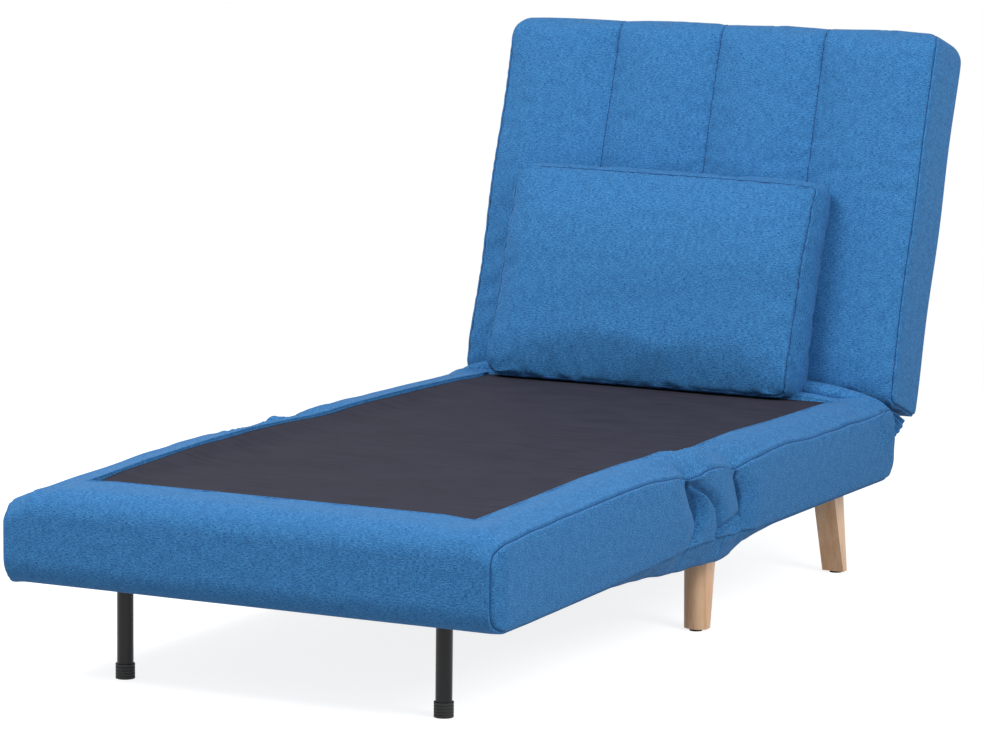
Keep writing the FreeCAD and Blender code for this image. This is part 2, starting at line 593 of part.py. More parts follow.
def wood_leg():
    """A leg with its round face towards +Y, flat face towards -Y, standing at the origin."""
    top_height = SECTION_BOTTOM - FIT
    foot = leg_section(WOOD_WIDTH, WOOD_FOOT_DEPTH, GLIDE_HEIGHT)
    foot.translate(Vector(WOOD_SPLAY_SIDE, WOOD_TOP_DEPTH / 2 - WOOD_FOOT_DEPTH + WOOD_SPLAY, 0))
    top = leg_section(WOOD_WIDTH, WOOD_TOP_DEPTH, top_height)
    top.translate(Vector(0, -WOOD_TOP_DEPTH / 2, 0))
    leg = Part.makeLoft([foot, top], True, True)
    bore = rod(0, 0, top_height - LEG_SCREW_DEPTH, LEG_SCREW + PIN_PLAY, LEG_SCREW_DEPTH + 1,
               Vector(0, 0, 1))
    return leg.cut(bore)


def placed(shape, side, way, y):
    """A leg's piece, mirrored for its side and its end, at its place under the seat."""
    if side < 0:
        shape = mirrored(shape)
    if way < 0:
        shape = shape.mirror(Vector(0, 0, 0), Vector(0, 1, 0))
    return shape.translated(Vector(side * WOOD_TOP_SPREAD / 2, y, 0))


def leg_screw_holes(radius, start, length):
    up = Vector(0, 0, 1)
    return [
        rod(side * WOOD_TOP_SPREAD / 2, y, start, radius, length, up)
        for _, side, _, y in wood_leg_places()
    ]


def mount_plates(grow=0.0):
    """A steel plate over each wooden leg, between the cover and the crossbar."""
    half = MOUNT_PLATE_WIDTH / 2
    block = box(-half - grow, half + grow, -MOUNT_PLATE_INNER - grow, MOUNT_PLATE_OUTER + grow,
                SEAT_FRAME_BOTTOM - MOUNT_PLATE - grow, SEAT_FRAME_BOTTOM)
    if not grow:
        block = block.cut(rod(0, 0, SECTION_BOTTOM, LEG_SCREW + PIN_PLAY, TUBE, Vector(0, 0, 1)))
    return [placed(block, side, way, y) for _, side, way, y in wood_leg_places()]


def wood_legs():
    """Four wooden legs, with the plates, screws and glides that go with them."""
    up = Vector(0, 0, 1)
    foot_y = WOOD_TOP_DEPTH / 2 - WOOD_FOOT_DEPTH / 2 + WOOD_SPLAY
    glide = rod(WOOD_SPLAY_SIDE, foot_y, 0, WOOD_FOOT_DEPTH / 2 - 2, GLIDE_HEIGHT, up)
    frame_top = SEAT_FRAME_BOTTOM + TUBE
    screw_bottom = SECTION_BOTTOM - FIT - LEG_SCREW_DEPTH
    screw = rod(0, 0, screw_bottom, LEG_SCREW, frame_top + LEG_NUT_HEIGHT + 1 - screw_bottom, up)
    screw = screw.fuse(rod(0, 0, frame_top, LEG_SCREW + 3, LEG_NUT_HEIGHT, up)).removeSplitter()
    screws, glides = [], []
    for name, side, way, y in wood_leg_places():
        parts[name] = placed(wood_leg(), side, way, y)
        screws.append(placed(screw, side, way, y))
        glides.append(placed(glide, side, way, y))
    parts["leg_mount_plates"] = Part.makeCompound(mount_plates())
    parts["leg_screws"] = Part.makeCompound(screws)
    parts["leg_glides"] = Part.makeCompound(glides)


def backrest():
    """The backrest, lying flat behind the seat."""
    corners = [BACK_CORNER] * 4
    corners[0] = corners[3] = FOLD_CORNER
    outer, inner, foam = nested_cushions(BACK_START, BACK_END, BACK_BOTTOM, DECK_HEIGHT, corners)
    y0, y1 = BACK_START + FOLD_END_INSET, BACK_END - FRAME_END_INSET
    slots = hinge_slot(BACK_START - 1, BACK_START + RECLINE_SLOT_LENGTH, BACK_FRAME_BOTTOM - FIT,
                       DECK_HEIGHT + 5)
    tray = box(-OUTER_FRAME_HALF - FIT, OUTER_FRAME_HALF + FIT, y0 - FIT, y1 + FIT,
               BACK_FRAME_BOTTOM - FIT, BACK_FRAME_BOTTOM + TUBE + CLIP_SIZE + FIT)
    parts["back_cover"] = cut_all(outer.cut(inner), slots)
    parts["back_foam"] = cut_all(foam, [tray] + slots)
    last = y1 - TUBE
    parts["back_frame"] = drilled_frame(OUTER_FRAME_HALF, OUTER_PLATE, y0, y1, BACK_FRAME_BOTTOM,
                                        [y0, last], RECLINE_BACK_BOLTS)
    parts["back_springs"], parts["back_spring_clips"] = spring_set(
        SPRING_SPREAD, y0, last, BACK_FRAME_BOTTOM + TUBE, 1)


def pillow():
    """The lumbar pillow, on the flat backrest, with its cover, filling and zip."""
    y0 = RECLINE_Y + PILLOW_START
    z0 = DECK_HEIGHT + FIT
    shapes = []
    corners = [PILLOW_CREASE_CORNER] + [PILLOW_CORNER] * 3
    for inset in (0.0, PILLOW_COVER, PILLOW_COVER + FIT):
        solid = cushion(PILLOW_WIDTH / 2 - inset, y0 + inset, y0 + PILLOW_HEIGHT - inset, z0 + inset,
                        z0 + PILLOW_THICKNESS - inset, [r - inset for r in corners],
                        PILLOW_SIDE_ROUND - inset)
        shapes.append(solid.translated(Vector(PILLOW_OFFSET, 0, 0)))
    zip_half = PILLOW_WIDTH / 2 - ZIP_END_INSET
    middle = z0 + PILLOW_THICKNESS / 2
    zip_band = box(PILLOW_OFFSET - zip_half, PILLOW_OFFSET + zip_half, y0, y0 + PILLOW_COVER,
                   middle - ZIP_WIDTH / 2, middle + ZIP_WIDTH / 2)
    parts["pillow_cover"] = shapes[0].cut(shapes[1]).cut(zip_band)
    parts["pillow_zip"] = zip_band
    parts["pillow_filling"] = shapes[2]


LEANING = [
    "back_cover", "back_foam", "back_frame", "back_springs", "back_spring_clips", "back_hinge_bolts",
    "left_recline_hinge_arm", "right_recline_hinge_arm", "pillow_cover", "pillow_zip", "pillow_filling",
]


def lean_up(shape):
    """Turn what lies flat behind the seat up to the backrest's lean."""
    leaned = shape.copy()
    leaned.rotate(Vector(0, RECLINE_Y, RECLINE_Z), ALONG_X, LEAN_UP)
    return leaned


def export():
    """Lean the backrest up, centre everything on the floor, and write one file for each piece."""
    os.makedirs("parts", exist_ok=True)
    for name in LEANING:
        parts[name] = lean_up(parts[name])
    rear = parts["back_cover"].optimalBoundingBox(False).YMax
    to_centre = Vector(0, -rear / 2, 0)
    for name, shape in parts.items():
        shape.translated(to_centre).exportStep(f"parts/{name}.step")
    print("pieces", len(parts), "rear", round(rear, 3))
    print("fold axis", round(FOLD_Y - rear / 2, 4), FOLD_Z)
    print("recline axis", round(RECLINE_Y - rear / 2, 4), RECLINE_Z)
    print("tube leg pivots", round(TUBE_LEG_SETBACK - rear / 2, 4), TUBE_LEG_PIVOT_HEIGHT)


front_section()
seat_section()
fold_hinges()
recline_hinges()
hinge_bolts()
tube_legs()
wood_legs()
backrest()
pillow()
export()
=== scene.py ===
# %% [markdown]
# # A fold-out sofa bed with one armless place
# The steel frames, hinges, springs, wooden legs and tube legs come ready made from the CAD model.
# This script dresses them: the soft sections with their seams and gathers, the black cloth let into
# the top, the quilted backrest, the loose pillow, and a finish for every piece.
# Everything is in metres in the CAD model's frame: x runs across the seat, y from the foot end to
# the backrest, z up.

# %% Load the fixed frame
import json
import math

import bpy
import numpy as np
from mathutils import Matrix, Vector


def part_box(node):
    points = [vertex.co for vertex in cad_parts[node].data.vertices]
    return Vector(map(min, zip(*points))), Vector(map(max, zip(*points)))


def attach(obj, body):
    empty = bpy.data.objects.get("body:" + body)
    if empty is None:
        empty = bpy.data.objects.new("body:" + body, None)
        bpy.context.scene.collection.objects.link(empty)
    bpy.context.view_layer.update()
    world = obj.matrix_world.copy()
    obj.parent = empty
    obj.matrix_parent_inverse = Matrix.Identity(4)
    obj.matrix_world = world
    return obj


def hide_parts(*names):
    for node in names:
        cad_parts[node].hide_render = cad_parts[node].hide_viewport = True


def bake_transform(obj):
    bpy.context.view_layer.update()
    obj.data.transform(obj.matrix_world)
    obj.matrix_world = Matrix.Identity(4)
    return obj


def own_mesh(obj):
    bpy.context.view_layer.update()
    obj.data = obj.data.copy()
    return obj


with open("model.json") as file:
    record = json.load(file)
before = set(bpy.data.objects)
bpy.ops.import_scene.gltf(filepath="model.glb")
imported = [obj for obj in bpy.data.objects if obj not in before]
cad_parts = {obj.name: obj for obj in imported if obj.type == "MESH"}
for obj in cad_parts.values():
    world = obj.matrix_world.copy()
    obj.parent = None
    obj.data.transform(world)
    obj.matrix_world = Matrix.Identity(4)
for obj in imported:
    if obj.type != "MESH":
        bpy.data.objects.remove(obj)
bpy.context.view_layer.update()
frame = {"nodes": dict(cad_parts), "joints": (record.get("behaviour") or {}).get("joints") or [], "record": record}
joints = {joint["name"]: joint for joint in frame["joints"]}

# %% [markdown]
# ## Where things are
# Every place is read from the CAD model, so the soft pieces land on the frames without fitting.
# The mattress is two sections that meet at the fold line.

# %% Key places
seat_low, seat_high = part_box("seat_cover")
cloth_low, cloth_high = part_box("front_top_cloth")
cloth_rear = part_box("seat_top_cloth")[1][1]
FOLD_Y, FOLD_Z = joints["front_fold"]["pos_m"][1:]
RECLINE_Y, RECLINE_Z = joints["backrest_recline"]["pos_m"][1:]
LEAN = math.radians(joints["backrest_recline"]["range_deg"][1])
DECK = seat_high[2]
FRAME_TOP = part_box("front_frame")[1][2]
HINGE_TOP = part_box("left_fold_hinge_arm")[1][2]
UNDERSIDE = seat_low[2]
HALF = seat_high[0]
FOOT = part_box("front_cover")[0][1]
REAR = seat_high[1]
print(f"deck at z {DECK:.3f}, fold at y {FOLD_Y:.3f}, recline axis at y {RECLINE_Y:.3f}")

# %% [markdown]
# ## Camera
# A long lens from the front right, a little above the seat, looking gently down.

# %% Camera
CAMERA_PLACE = Vector((2.9187, -5.8408, 1.2996))
YAW, PITCH, ROLL = (math.radians(a) for a in (26.877, 8.313, 0.607))
LENS, SENSOR = 169.92, 36
forward = Vector((-math.sin(YAW) * math.cos(PITCH), math.cos(YAW) * math.cos(PITCH), -math.sin(PITCH)))
level_right = Vector((math.cos(YAW), math.sin(YAW), 0))
level_up = level_right.cross(forward)
camera_right = math.cos(ROLL) * level_right + math.sin(ROLL) * level_up
camera_up = -math.sin(ROLL) * level_right + math.cos(ROLL) * level_up
camera = bpy.data.objects.new("camera", bpy.data.cameras.new("camera"))
bpy.context.collection.objects.link(camera)
turn = Matrix((camera_right, camera_up, -forward)).transposed().to_4x4()
camera.matrix_world = Matrix.Translation(CAMERA_PLACE) @ turn
camera.data.lens, camera.data.sensor_width = LENS, SENSOR
camera.data.clip_end = 60
bpy.context.scene.camera = camera
print("camera", tuple(round(v, 3) for v in CAMERA_PLACE))

# %% [markdown]
# ## Shader maths as Python
# A material's numbers are sockets. Signal wraps one socket, so that `1 - mask * 0.5` adds the Math
# nodes by itself. Finish is a material: its node method takes a node's type, its settings and the
# values of its sockets.

# %% Signal and Finish
class Signal:
    """A number that changes over a surface."""

    def __init__(self, finish, socket):
        self.finish, self.socket = finish, socket

    def math(self, operation, *values):
        return self.finish.node("ShaderNodeMath", {"operation": operation}, dict(enumerate(values)))

    def __add__(self, other):
        return self.math("ADD", self, other)

    def __mul__(self, other):
        return self.math("MULTIPLY", self, other)

    def __sub__(self, other):
        return self.math("SUBTRACT", self, other)

    def __rsub__(self, other):
        return self.math("SUBTRACT", other, self)

    __radd__, __rmul__ = __add__, __mul__

    def sine(self):
        return self.math("SINE", self)

    def also(self, output):
        """Another output of the same node."""
        return Signal(self.finish, self.socket.node.outputs[output])

    def clear(self, low, high):
        """0 below low, 1 above high, smooth between."""
        return self.finish.node("ShaderNodeMapRange", {"interpolation_type": "SMOOTHSTEP"},
                                {"Value": self, "From Min": low, "From Max": high})


def colour(red, green, blue):
    """A screen colour, 0 to 255, as the linear colour that shaders use."""
    linear = [c / 12.92 if c <= 0.04045 else ((c + 0.055) / 1.055) ** 2.4
              for c in (red / 255, green / 255, blue / 255)]
    return (*linear, 1.0)


class Finish:
    """A material on the Principled shader."""

    def __init__(self, name, **uniform):
        self.material = bpy.data.materials.new(name)
        self.material.use_nodes = True
        self.tree = self.material.node_tree
        self.shader = self.tree.nodes["Principled BSDF"]
        for socket, value in uniform.items():
            self.shader.inputs[socket.replace("_", " ")].default_value = value

    def node(self, kind, settings=None, inputs=None, output=0):
        made = self.tree.nodes.new(kind)
        for name, value in (settings or {}).items():
            if name == "stops":
                ramp = made.color_ramp
                while len(ramp.elements) < len(value):
                    ramp.elements.new(0.5)
                for element, (place, tint) in zip(ramp.elements, value):
                    element.position, element.color = place, tint
            else:
                setattr(made, name, value)
        for socket, value in (inputs or {}).items():
            if isinstance(value, Signal):
                self.tree.links.new(value.socket, made.inputs[socket])
            else:
                made.inputs[socket].default_value = value
        return Signal(self, made.outputs[output])

    def on_piece(self):
        """Places in the piece's own metres."""
        return self.node("ShaderNodeTexCoord", None, None, 3)

    def on_cloth(self):
        """Places on the flat cloth map, in metres."""
        return self.node("ShaderNodeUVMap", {"uv_map": "cloth"})

    def stretched(self, place, scale):
        return self.node("ShaderNodeMapping", None, {0: place, "Scale": scale})

    def mix(self, amount, first, second):
        """Two colours mixed by an amount."""
        return self.node("ShaderNodeMix", {"data_type": "RGBA"}, {0: amount, 6: first, 7: second}, 2)

    def noise(self, place, scale, detail=2.0, roughness=0.5):
        return self.node("ShaderNodeTexNoise", None,
                         {"Vector": place, "Scale": scale, "Detail": detail, "Roughness": roughness})

    def wear(self, socket, signal):
        self.tree.links.new(signal.socket, self.shader.inputs[socket])

    def bump(self, height, distance, strength=1.0):
        self.wear("Normal", self.node("ShaderNodeBump", None,
                                      {"Height": height, "Distance": distance, "Strength": strength}))


# %% [markdown]
# ## The heathered blue cloth
# A plain weave of two blues: the yarns differ a little from one to the next, so the cloth looks
# speckled from near and even from far. The pattern lies on each piece's own cloth map, which is in
# metres, so that it doesn't swim when the piece moves. Shade is painted into the side creases too.

# %% Blue cloth
BLUE = colour(57, 125, 183)
BLUE_LIGHT = colour(98, 158, 206)
BLUE_DARK = colour(24, 80, 134)
# The deepest blue is painted shade, laid into the side creases.
BLUE_PAINTED_SHADE = colour(12, 48, 92)
THREAD = 0.0016


def woven(finish, place):
    """The raised threads of a plain weave, 0 to 1."""
    apart = finish.node("ShaderNodeSeparateXYZ", None, {0: place})
    turn_rate = math.pi / THREAD
    return (apart * turn_rate).sine() * (apart.also(1) * turn_rate).sine() * 0.5 + 0.5


def blue_cloth(name, mapped=True):
    finish = Finish(name, Sheen_Weight=0.04, Sheen_Roughness=0.5, Specular_IOR_Level=0.18)
    place = finish.on_cloth() if mapped else finish.on_piece()
    threads = woven(finish, place)
    slubs = finish.noise(finish.stretched(place, (190, 700, 700)), 1.0, detail=3.0, roughness=0.7)
    speckle = finish.noise(place, 640.0, roughness=0.6)
    patches = finish.noise(place, 70.0, detail=4.0, roughness=0.6)
    shade = finish.mix(slubs.clear(0.34, 0.60), BLUE_DARK, BLUE)
    shade = finish.mix(speckle.clear(0.50, 0.70) * 0.60, shade, BLUE_LIGHT)
    shade = finish.mix(slubs.clear(0.60, 0.80) * 0.35, shade, BLUE_LIGHT)
    shade = finish.mix(patches.clear(0.38, 0.68) * 0.28, shade, BLUE_DARK)
    # Painted shade: the side creases darken towards the deepest blue, by the crease attribute.
    painted_crease_shade = finish.node("ShaderNodeAttribute", {"attribute_name": "crease"}, None, 2)
    shade = finish.mix(painted_crease_shade * 0.55, shade, BLUE_PAINTED_SHADE)
    finish.wear("Base Color", shade)
    finish.wear("Roughness", threads * 0.1 + 0.8)
    finish.bump(threads * 0.5 + slubs * 0.7 + speckle * 0.4, 0.0008, 0.5)
    return finish.material


blue = blue_cloth("blue_cloth")
print("blue cloth with threads", THREAD * 1000, "mm apart")

# %% [markdown]
# ## The other finishes
# Charcoal cloth with faint ribs, beech with straight grain, satin black powder coat, ribbed rubber,
# bright spring wire, zinc plating and moulded plastic.

# %% Charcoal cloth and thread
RIB_RATE = 1900.0


def charcoal_cloth(name):
    finish = Finish(name, Specular_IOR_Level=0.08)
    place = finish.on_cloth()
    ribs = (finish.node("ShaderNodeSeparateXYZ", None, {0: place}, 1) * RIB_RATE).sine()
    cloudy = finish.noise(place, 18.0, detail=3.0)
    nap = finish.noise(place, 620.0)
    streaks = finish.noise(finish.stretched(place, (6, 260, 1)), 1.0)
    shade = finish.mix(cloudy.clear(0.3, 0.7), colour(44, 44, 54), colour(50, 50, 61))
    shade = finish.mix(streaks.clear(0.35, 0.75) * 0.55, shade, colour(60, 60, 73))
    finish.wear("Base Color", shade)
    finish.wear("Roughness", cloudy * 0.12 + 0.8)
    finish.bump(ribs * 0.25 + nap + streaks * 0.8, 0.0006, 0.4)
    return finish.material


def thread_finish(name, tint):
    finish = Finish(name, Specular_IOR_Level=0.3)
    twist = finish.noise(finish.on_piece(), 900.0)
    finish.wear("Base Color", finish.mix(twist.clear(0.4, 0.8) * 0.5, tint, BLUE_DARK))
    finish.wear("Roughness", twist * 0.2 + 0.6)
    return finish.material


charcoal = charcoal_cloth("charcoal_cloth")
stitching = thread_finish("stitching", colour(24, 66, 116))

# %% Beech
def beech_wood(name):
    finish = Finish(name, Specular_IOR_Level=0.5, Coat_Weight=0.25, Coat_Roughness=0.25)
    place = finish.on_piece()
    grain = finish.noise(finish.stretched(place, (60, 60, 4)), 1.0, detail=4.0, roughness=0.6)
    flecks = finish.noise(finish.stretched(place, (420, 420, 26)), 1.0)
    shade = finish.mix(grain.clear(0.35, 0.65), colour(242, 200, 160), colour(224, 174, 130))
    shade = finish.mix(flecks.clear(0.62, 0.74) * 0.45, shade, colour(146, 100, 64))
    finish.wear("Base Color", shade)
    finish.wear("Roughness", grain * 0.15 + 0.36)
    finish.bump(flecks, 0.0002, 0.35)
    return finish.material


# %% Metals, rubber and plastic
def coated(name, tint, roughness, metallic=0.0, pebble=0.0003, scale=900.0, **uniform):
    """A coat, plating or moulded skin: even in colour, with a fine texture in its gloss."""
    finish = Finish(name, Metallic=metallic, **uniform)
    place = finish.on_piece()
    pebbles = finish.noise(place, scale)
    marks = finish.noise(place, 14.0, detail=4.0)
    finish.wear("Base Color", finish.mix(marks.clear(0.3, 0.8) * 0.3, tint,
                                         tuple(0.72 * c for c in tint[:3]) + (1,)))
    finish.wear("Roughness", marks * 0.14 + pebbles * 0.06 + (roughness - 0.1))
    finish.bump(pebbles, pebble, 0.3)
    return finish.material


FINISHES = {
    "frame_steel": coated("frame_powder_coat", colour(42, 42, 44), 0.5),
    "spring_steel": coated("spring_wire", colour(176, 178, 182), 0.3, 1.0),
    "clip_plastic": coated("clip_plastic", colour(222, 220, 212), 0.5),
    "hinge_steel": coated("hinge_steel", colour(52, 53, 56), 0.42, 0.6),
    "fastener_steel": coated("zinc_plate", colour(198, 200, 204), 0.34, 1.0),
    "beech": beech_wood("beech"),
    "glide_felt": coated("glide_felt", colour(72, 66, 60), 0.95, 0.0, 0.0008, 700.0),
    "black_tube": coated("tube_powder_coat", colour(8, 8, 12), 0.3, 0.0, 0.00008, 1500.0,
                         Specular_IOR_Level=0.3),
    "cap_rubber": coated("cap_rubber", colour(17, 17, 18), 0.6, 0.0, 0.0003, 500.0),
    "zip_tape": coated("zip_tape", colour(48, 104, 164), 0.8, 0.0, 0.0006, 900.0),
    "black_cloth": coated("dust_cover_cloth", colour(30, 30, 33), 0.9, 0.0, 0.0005, 600.0),
    "foam": coated("foam", colour(236, 226, 190), 0.95, 0.0, 0.001, 400.0),
    "blue_weave": blue_cloth("blue_cloth_plain", False),
}
slot_of = {piece["node"]: piece["material_slot"] for piece in frame["record"]["subparts"]}
for name, node in frame["nodes"].items():
    node.data.materials.clear()
    node.data.materials.append(FINISHES[slot_of[name]])
print("finishes on", len(slot_of), "CAD nodes")

# %% [markdown]
# ## A block of cloth
# A cushion cover is cut from flat panels and sewn along its edges. The grid below is a closed box
# of quads with lines where the seams, creases and hems need them. Each panel carries its own flat
# cloth map in metres, as the cut panel would.

# %% Box of quads
PANEL_APART = 0.9
HAIR = 1e-6


def lines(stops, step):
    """Grid lines through every stop, at most a step apart."""
    made = [stops[0]]
    for start, end in zip(stops, stops[1:]):
        count = max(1, math.ceil((end - start) / step - HAIR))
        made += [start + (end - start) * i / count for i in range(1, count + 1)]
    return np.array(made)


def solid(name, places, quads, finish):
    """A smooth closed mesh from its corners and faces."""
    data = bpy.data.meshes.new(name)
    data.from_pydata(places.tolist(), [], quads)
    data.shade_smooth()
    data.materials.append(finish)
    piece = bpy.data.objects.new(name, data)
    bpy.context.collection.objects.link(piece)
    return piece


def map_cloth(data, places):
    """Lay the flat cloth map on a mesh, one place for each corner of each face."""
    layer = data.uv_layers.new(name="cloth")
    layer.data.foreach_set("uv", np.asarray(places).reshape(-1).astype(np.float32))


class Panels:
    """The closed grid of a sewn block: corners in the flat lattice, and quads in six panels."""

    def __init__(self, xs, ys, zs):
        self.low = np.array([xs[0], ys[0], zs[0]])
        self.high = np.array([xs[-1], ys[-1], zs[-1]])
        shape = (len(xs), len(ys), len(zs))
        index = np.arange(np.prod(shape)).reshape(shape)
        quads, panels, number = [], [], 0
        for axis in (0, 1, 2):
            for end in (0, -1):
                sheet = np.take(index, end, axis=axis)
                a, b, c, d = sheet[:-1, :-1], sheet[1:, :-1], sheet[1:, 1:], sheet[:-1, 1:]
                quad = np.stack([a, b, c, d], -1).reshape(-1, 4)
                if (end == 0) != (axis == 1):
                    quad = quad[:, ::-1]
                quads.append(quad)
                panels.append(np.full(len(quad), number))
                number += 1
        quads, self.panel = np.concatenate(quads), np.concatenate(panels)
        used, self.quads = np.unique(quads, return_inverse=True)
        self.quads = self.quads.reshape(quads.shape)
        i, j, k = np.unravel_index(used, shape)
        self.flat = np.stack([xs[i], ys[j], zs[k]], -1)

    def mesh(self, name, places, finish, sharp_ends=(), creases=None):
        piece = solid(name, places, self.quads.tolist(), finish)
        data = piece.data
        # The crease attribute is a painted-shade mask: how far the blue cloth darkens in the side creases.
        if creases is not None:
            layer = data.attributes.new("crease", "FLOAT", "POINT")
            layer.data.foreach_set("value", creases.astype(np.float32))
        across = np.array([(1, 2), (0, 2), (0, 1)])[self.panel // 2]
        uv = np.take_along_axis(self.flat[self.quads], across[:, None].repeat(4, 1), 2)
        uv[..., 0] += PANEL_APART * self.panel[:, None]
        map_cloth(data, uv)
        if sharp_ends:
            sharp = np.zeros(len(data.edges), bool)
            ends = np.array([e.vertices[:] for e in data.edges])
            for y in sharp_ends:
                on = np.abs(self.flat[:, 1] - y) < HAIR
                rim = on & ((np.abs(self.flat[:, 0]) > self.high[0] - HAIR)
                            | (self.flat[:, 2] > self.high[2] - HAIR)
                            | (self.flat[:, 2] < self.low[2] + HAIR))
                sharp |= rim[ends[:, 0]] & rim[ends[:, 1]]
            layer = data.attributes.new("sharp_edge", "BOOLEAN", "EDGE")
            layer.data.foreach_set("value", sharp)
        return piece


SEAM_REACH = (0.0, 0.0015, 0.003, 0.005, 0.008, 0.013)
GROOVE_WIDTH = 0.0024
JOINED_PULL = 0.009


def seamed(low, high, extra=()):
    """Grid stops that crowd towards the seams at both ends."""
    return sorted({*(low + r for r in SEAM_REACH), *(high - r for r in SEAM_REACH), *extra})


def sewn(panels, cap_axis, corners, rim, groove, joined=None):
    """Round the block as sewn cloth is. The two panels across cap_axis are caps, and one strip is
    wrapped round them, with its own corner radii. A seam groove runs along both caps' edges, but
    not on the joined side, 0 or 1, where the cloth runs on into the next block."""
    a, b = [axis for axis in (0, 1, 2) if axis != cap_axis]
    flat, low, high = panels.flat, panels.low, panels.high
    side_a = np.where(flat[:, a] < (low[a] + high[a]) / 2, 0, 1)
    side_b = np.where(flat[:, b] < (low[b] + high[b]) / 2, 0, 1)
    radius = np.array(corners)[side_a, side_b]
    depth_a = np.where(side_a == 0, flat[:, a] - low[a], high[a] - flat[:, a])
    depth_b = np.where(side_b == 0, flat[:, b] - low[b], high[b] - flat[:, b])
    if joined is not None:
        depth_a = np.where(side_a == joined, 1.0, depth_a)
    out_a, out_b = side_a * 2 - 1, side_b * 2 - 1
    past_a, past_b = radius - depth_a, radius - depth_b
    corner = (past_a > 0) & (past_b > 0)
    length = np.where(corner, np.hypot(past_a, past_b), 1.0)
    most = np.maximum(past_a, past_b)
    normal = np.zeros((len(flat), 2))
    nearer_a = depth_a <= depth_b
    normal[:, 0] = np.where(corner, out_a * past_a / length, np.where(nearer_a, out_a, 0))
    normal[:, 1] = np.where(corner, out_b * past_b / length, np.where(nearer_a, 0, out_b))
    pull = np.where(corner, most / length, 1.0)
    place_a = np.where(corner, flat[:, a] + out_a * past_a * (pull - 1), flat[:, a])
    place_b = np.where(corner, flat[:, b] + out_b * past_b * (pull - 1), flat[:, b])
    edge_depth = np.where(corner, radius - most, np.minimum(depth_a, depth_b))
    middle, half = (low[cap_axis] + high[cap_axis]) / 2, (high[cap_axis] - low[cap_axis]) / 2
    side = np.where(flat[:, cap_axis] < middle, -1.0, 1.0)
    cap_depth = half - np.abs(flat[:, cap_axis] - middle)
    on_cap = cap_depth < HAIR
    along = np.where(on_cap, -edge_depth, cap_depth)
    if joined is not None:
        end_face = (side_a == joined) & ~on_cap & (depth_b > HAIR)
        along = np.where(end_face, 1.0, along)
    angle = np.radians(45) * (1 + np.clip(along / rim, -1, 1))
    near = np.abs(along) < rim
    in_edge = np.where(near, rim * (1 - np.sin(angle)), edge_depth)
    in_cap = np.where(near, rim * (1 - np.cos(angle)), cap_depth)
    dip = groove * np.exp(-(along / GROOVE_WIDTH) ** 2)
    in_edge, in_cap = in_edge + dip, in_cap + dip
    places = flat.copy()
    places[:, a] = place_a + normal[:, 0] * (edge_depth - in_edge)
    places[:, b] = place_b + normal[:, 1] * (edge_depth - in_edge)
    places[:, cap_axis] = middle + side * (half - in_cap)
    if joined is not None:
        pull = JOINED_PULL * end_face
        places[:, cap_axis] -= pull * side * (1 - cap_depth / half)
        places[:, b] -= pull * out_b * (1 - depth_b / (high[b] - low[b]) * 2)
    return places, edge_depth, cap_depth, side


print("seam lines", SEAM_REACH)


def smooth(value, low, high):
    t = np.clip((value - low) / (high - low), 0, 1)
    return t * t * (3 - 2 * t)


SWELL_FRAMES = 20


def inflated(name, panels, places, held, pressure, furthest, slack):
    """Blow a closed cover up with Blender's Cloth while its seams are held, then keep the shape."""
    trial = solid(name, places, panels.quads.tolist(), blue)
    seams_held = trial.vertex_groups.new(name="seams")
    seams_held.add([int(v) for v in held], 1.0, "REPLACE")
    cloth = trial.modifiers.new("cloth", "CLOTH")
    cloth.settings.quality = 6
    cloth.settings.mass = 0.3
    cloth.settings.use_pressure = True
    cloth.settings.uniform_pressure_force = pressure
    cloth.settings.vertex_group_mass = "seams"
    cloth.settings.effector_weights.gravity = 0
    cloth.settings.shrink_min = -slack
    cloth.point_cache.frame_start, cloth.point_cache.frame_end = 1, SWELL_FRAMES
    for frame_number in range(1, SWELL_FRAMES + 1):
        bpy.context.scene.frame_set(frame_number)
    swollen = trial.evaluated_get(bpy.context.evaluated_depsgraph_get()).data
    moved = np.array([v.co[:] for v in swollen.vertices]) - places
    bpy.data.objects.remove(trial)
    bpy.context.scene.frame_set(1)
    far = np.maximum(np.linalg.norm(moved, axis=1, keepdims=True), 1e-9)
    print(f"{name}: swelled by up to {far.max() * 1000:.1f} mm")
    return places + moved * np.minimum(1, furthest / far)


# %% [markdown]
# ## How the two sections lie
# The cover is one long sleeve over both sections. It is tight along the edges, puffs up a little
# over the foam, and gathers where the sections meet: two deep creases with two folds between.
# Heights are measured above the deck, along the length from the foot end.

# %% Height of the top
ALONG = FOOT + np.array([0.0, 0.03, 0.18, 0.37, 0.47, 0.544, 0.597, 0.643, 0.694, 0.742, 0.782,
                         0.829, 0.91, 1.03, 1.13, 1.22, 1.282, 1.33])
RIGHT_RIM = np.array([-12, -8, -1, 5, 5, 0, -12, -4, -7, -18, -11, -8, -5, -10, -9, -10, -7, -7]) / 1000
LEFT_RIM = np.array([-19, -18, -12, -5, -3, -7, -12, -9, -8, -12, -8, -5, -6, -8, -8, -9, -9, -9]) / 1000
HEM_AT = FOOT + np.array([0, 0.1, 0.25, 0.40, 0.52, 0.595, 0.65, 0.70, 0.749, 0.80, 0.885, 1.016,
                          1.171, 1.258, 1.33])
RIGHT_HEM = np.array([1, 2, 6, 11, 12, 10, 11, 4, 2, 4, 6, 3, 2, 1, 0]) / 1000
LEFT_HEM = np.array([1, 3, 10, 14, 15, 13, 11, 9, 9, 10, 10, 9, 5, 1, 0]) / 1000
CLOTH_HALF = cloth_high[0] + 0.0003
CLOTH_FRONT, CLOTH_REAR = cloth_low[1] - 0.0003, cloth_rear + 0.0003
LIP = 0.0026


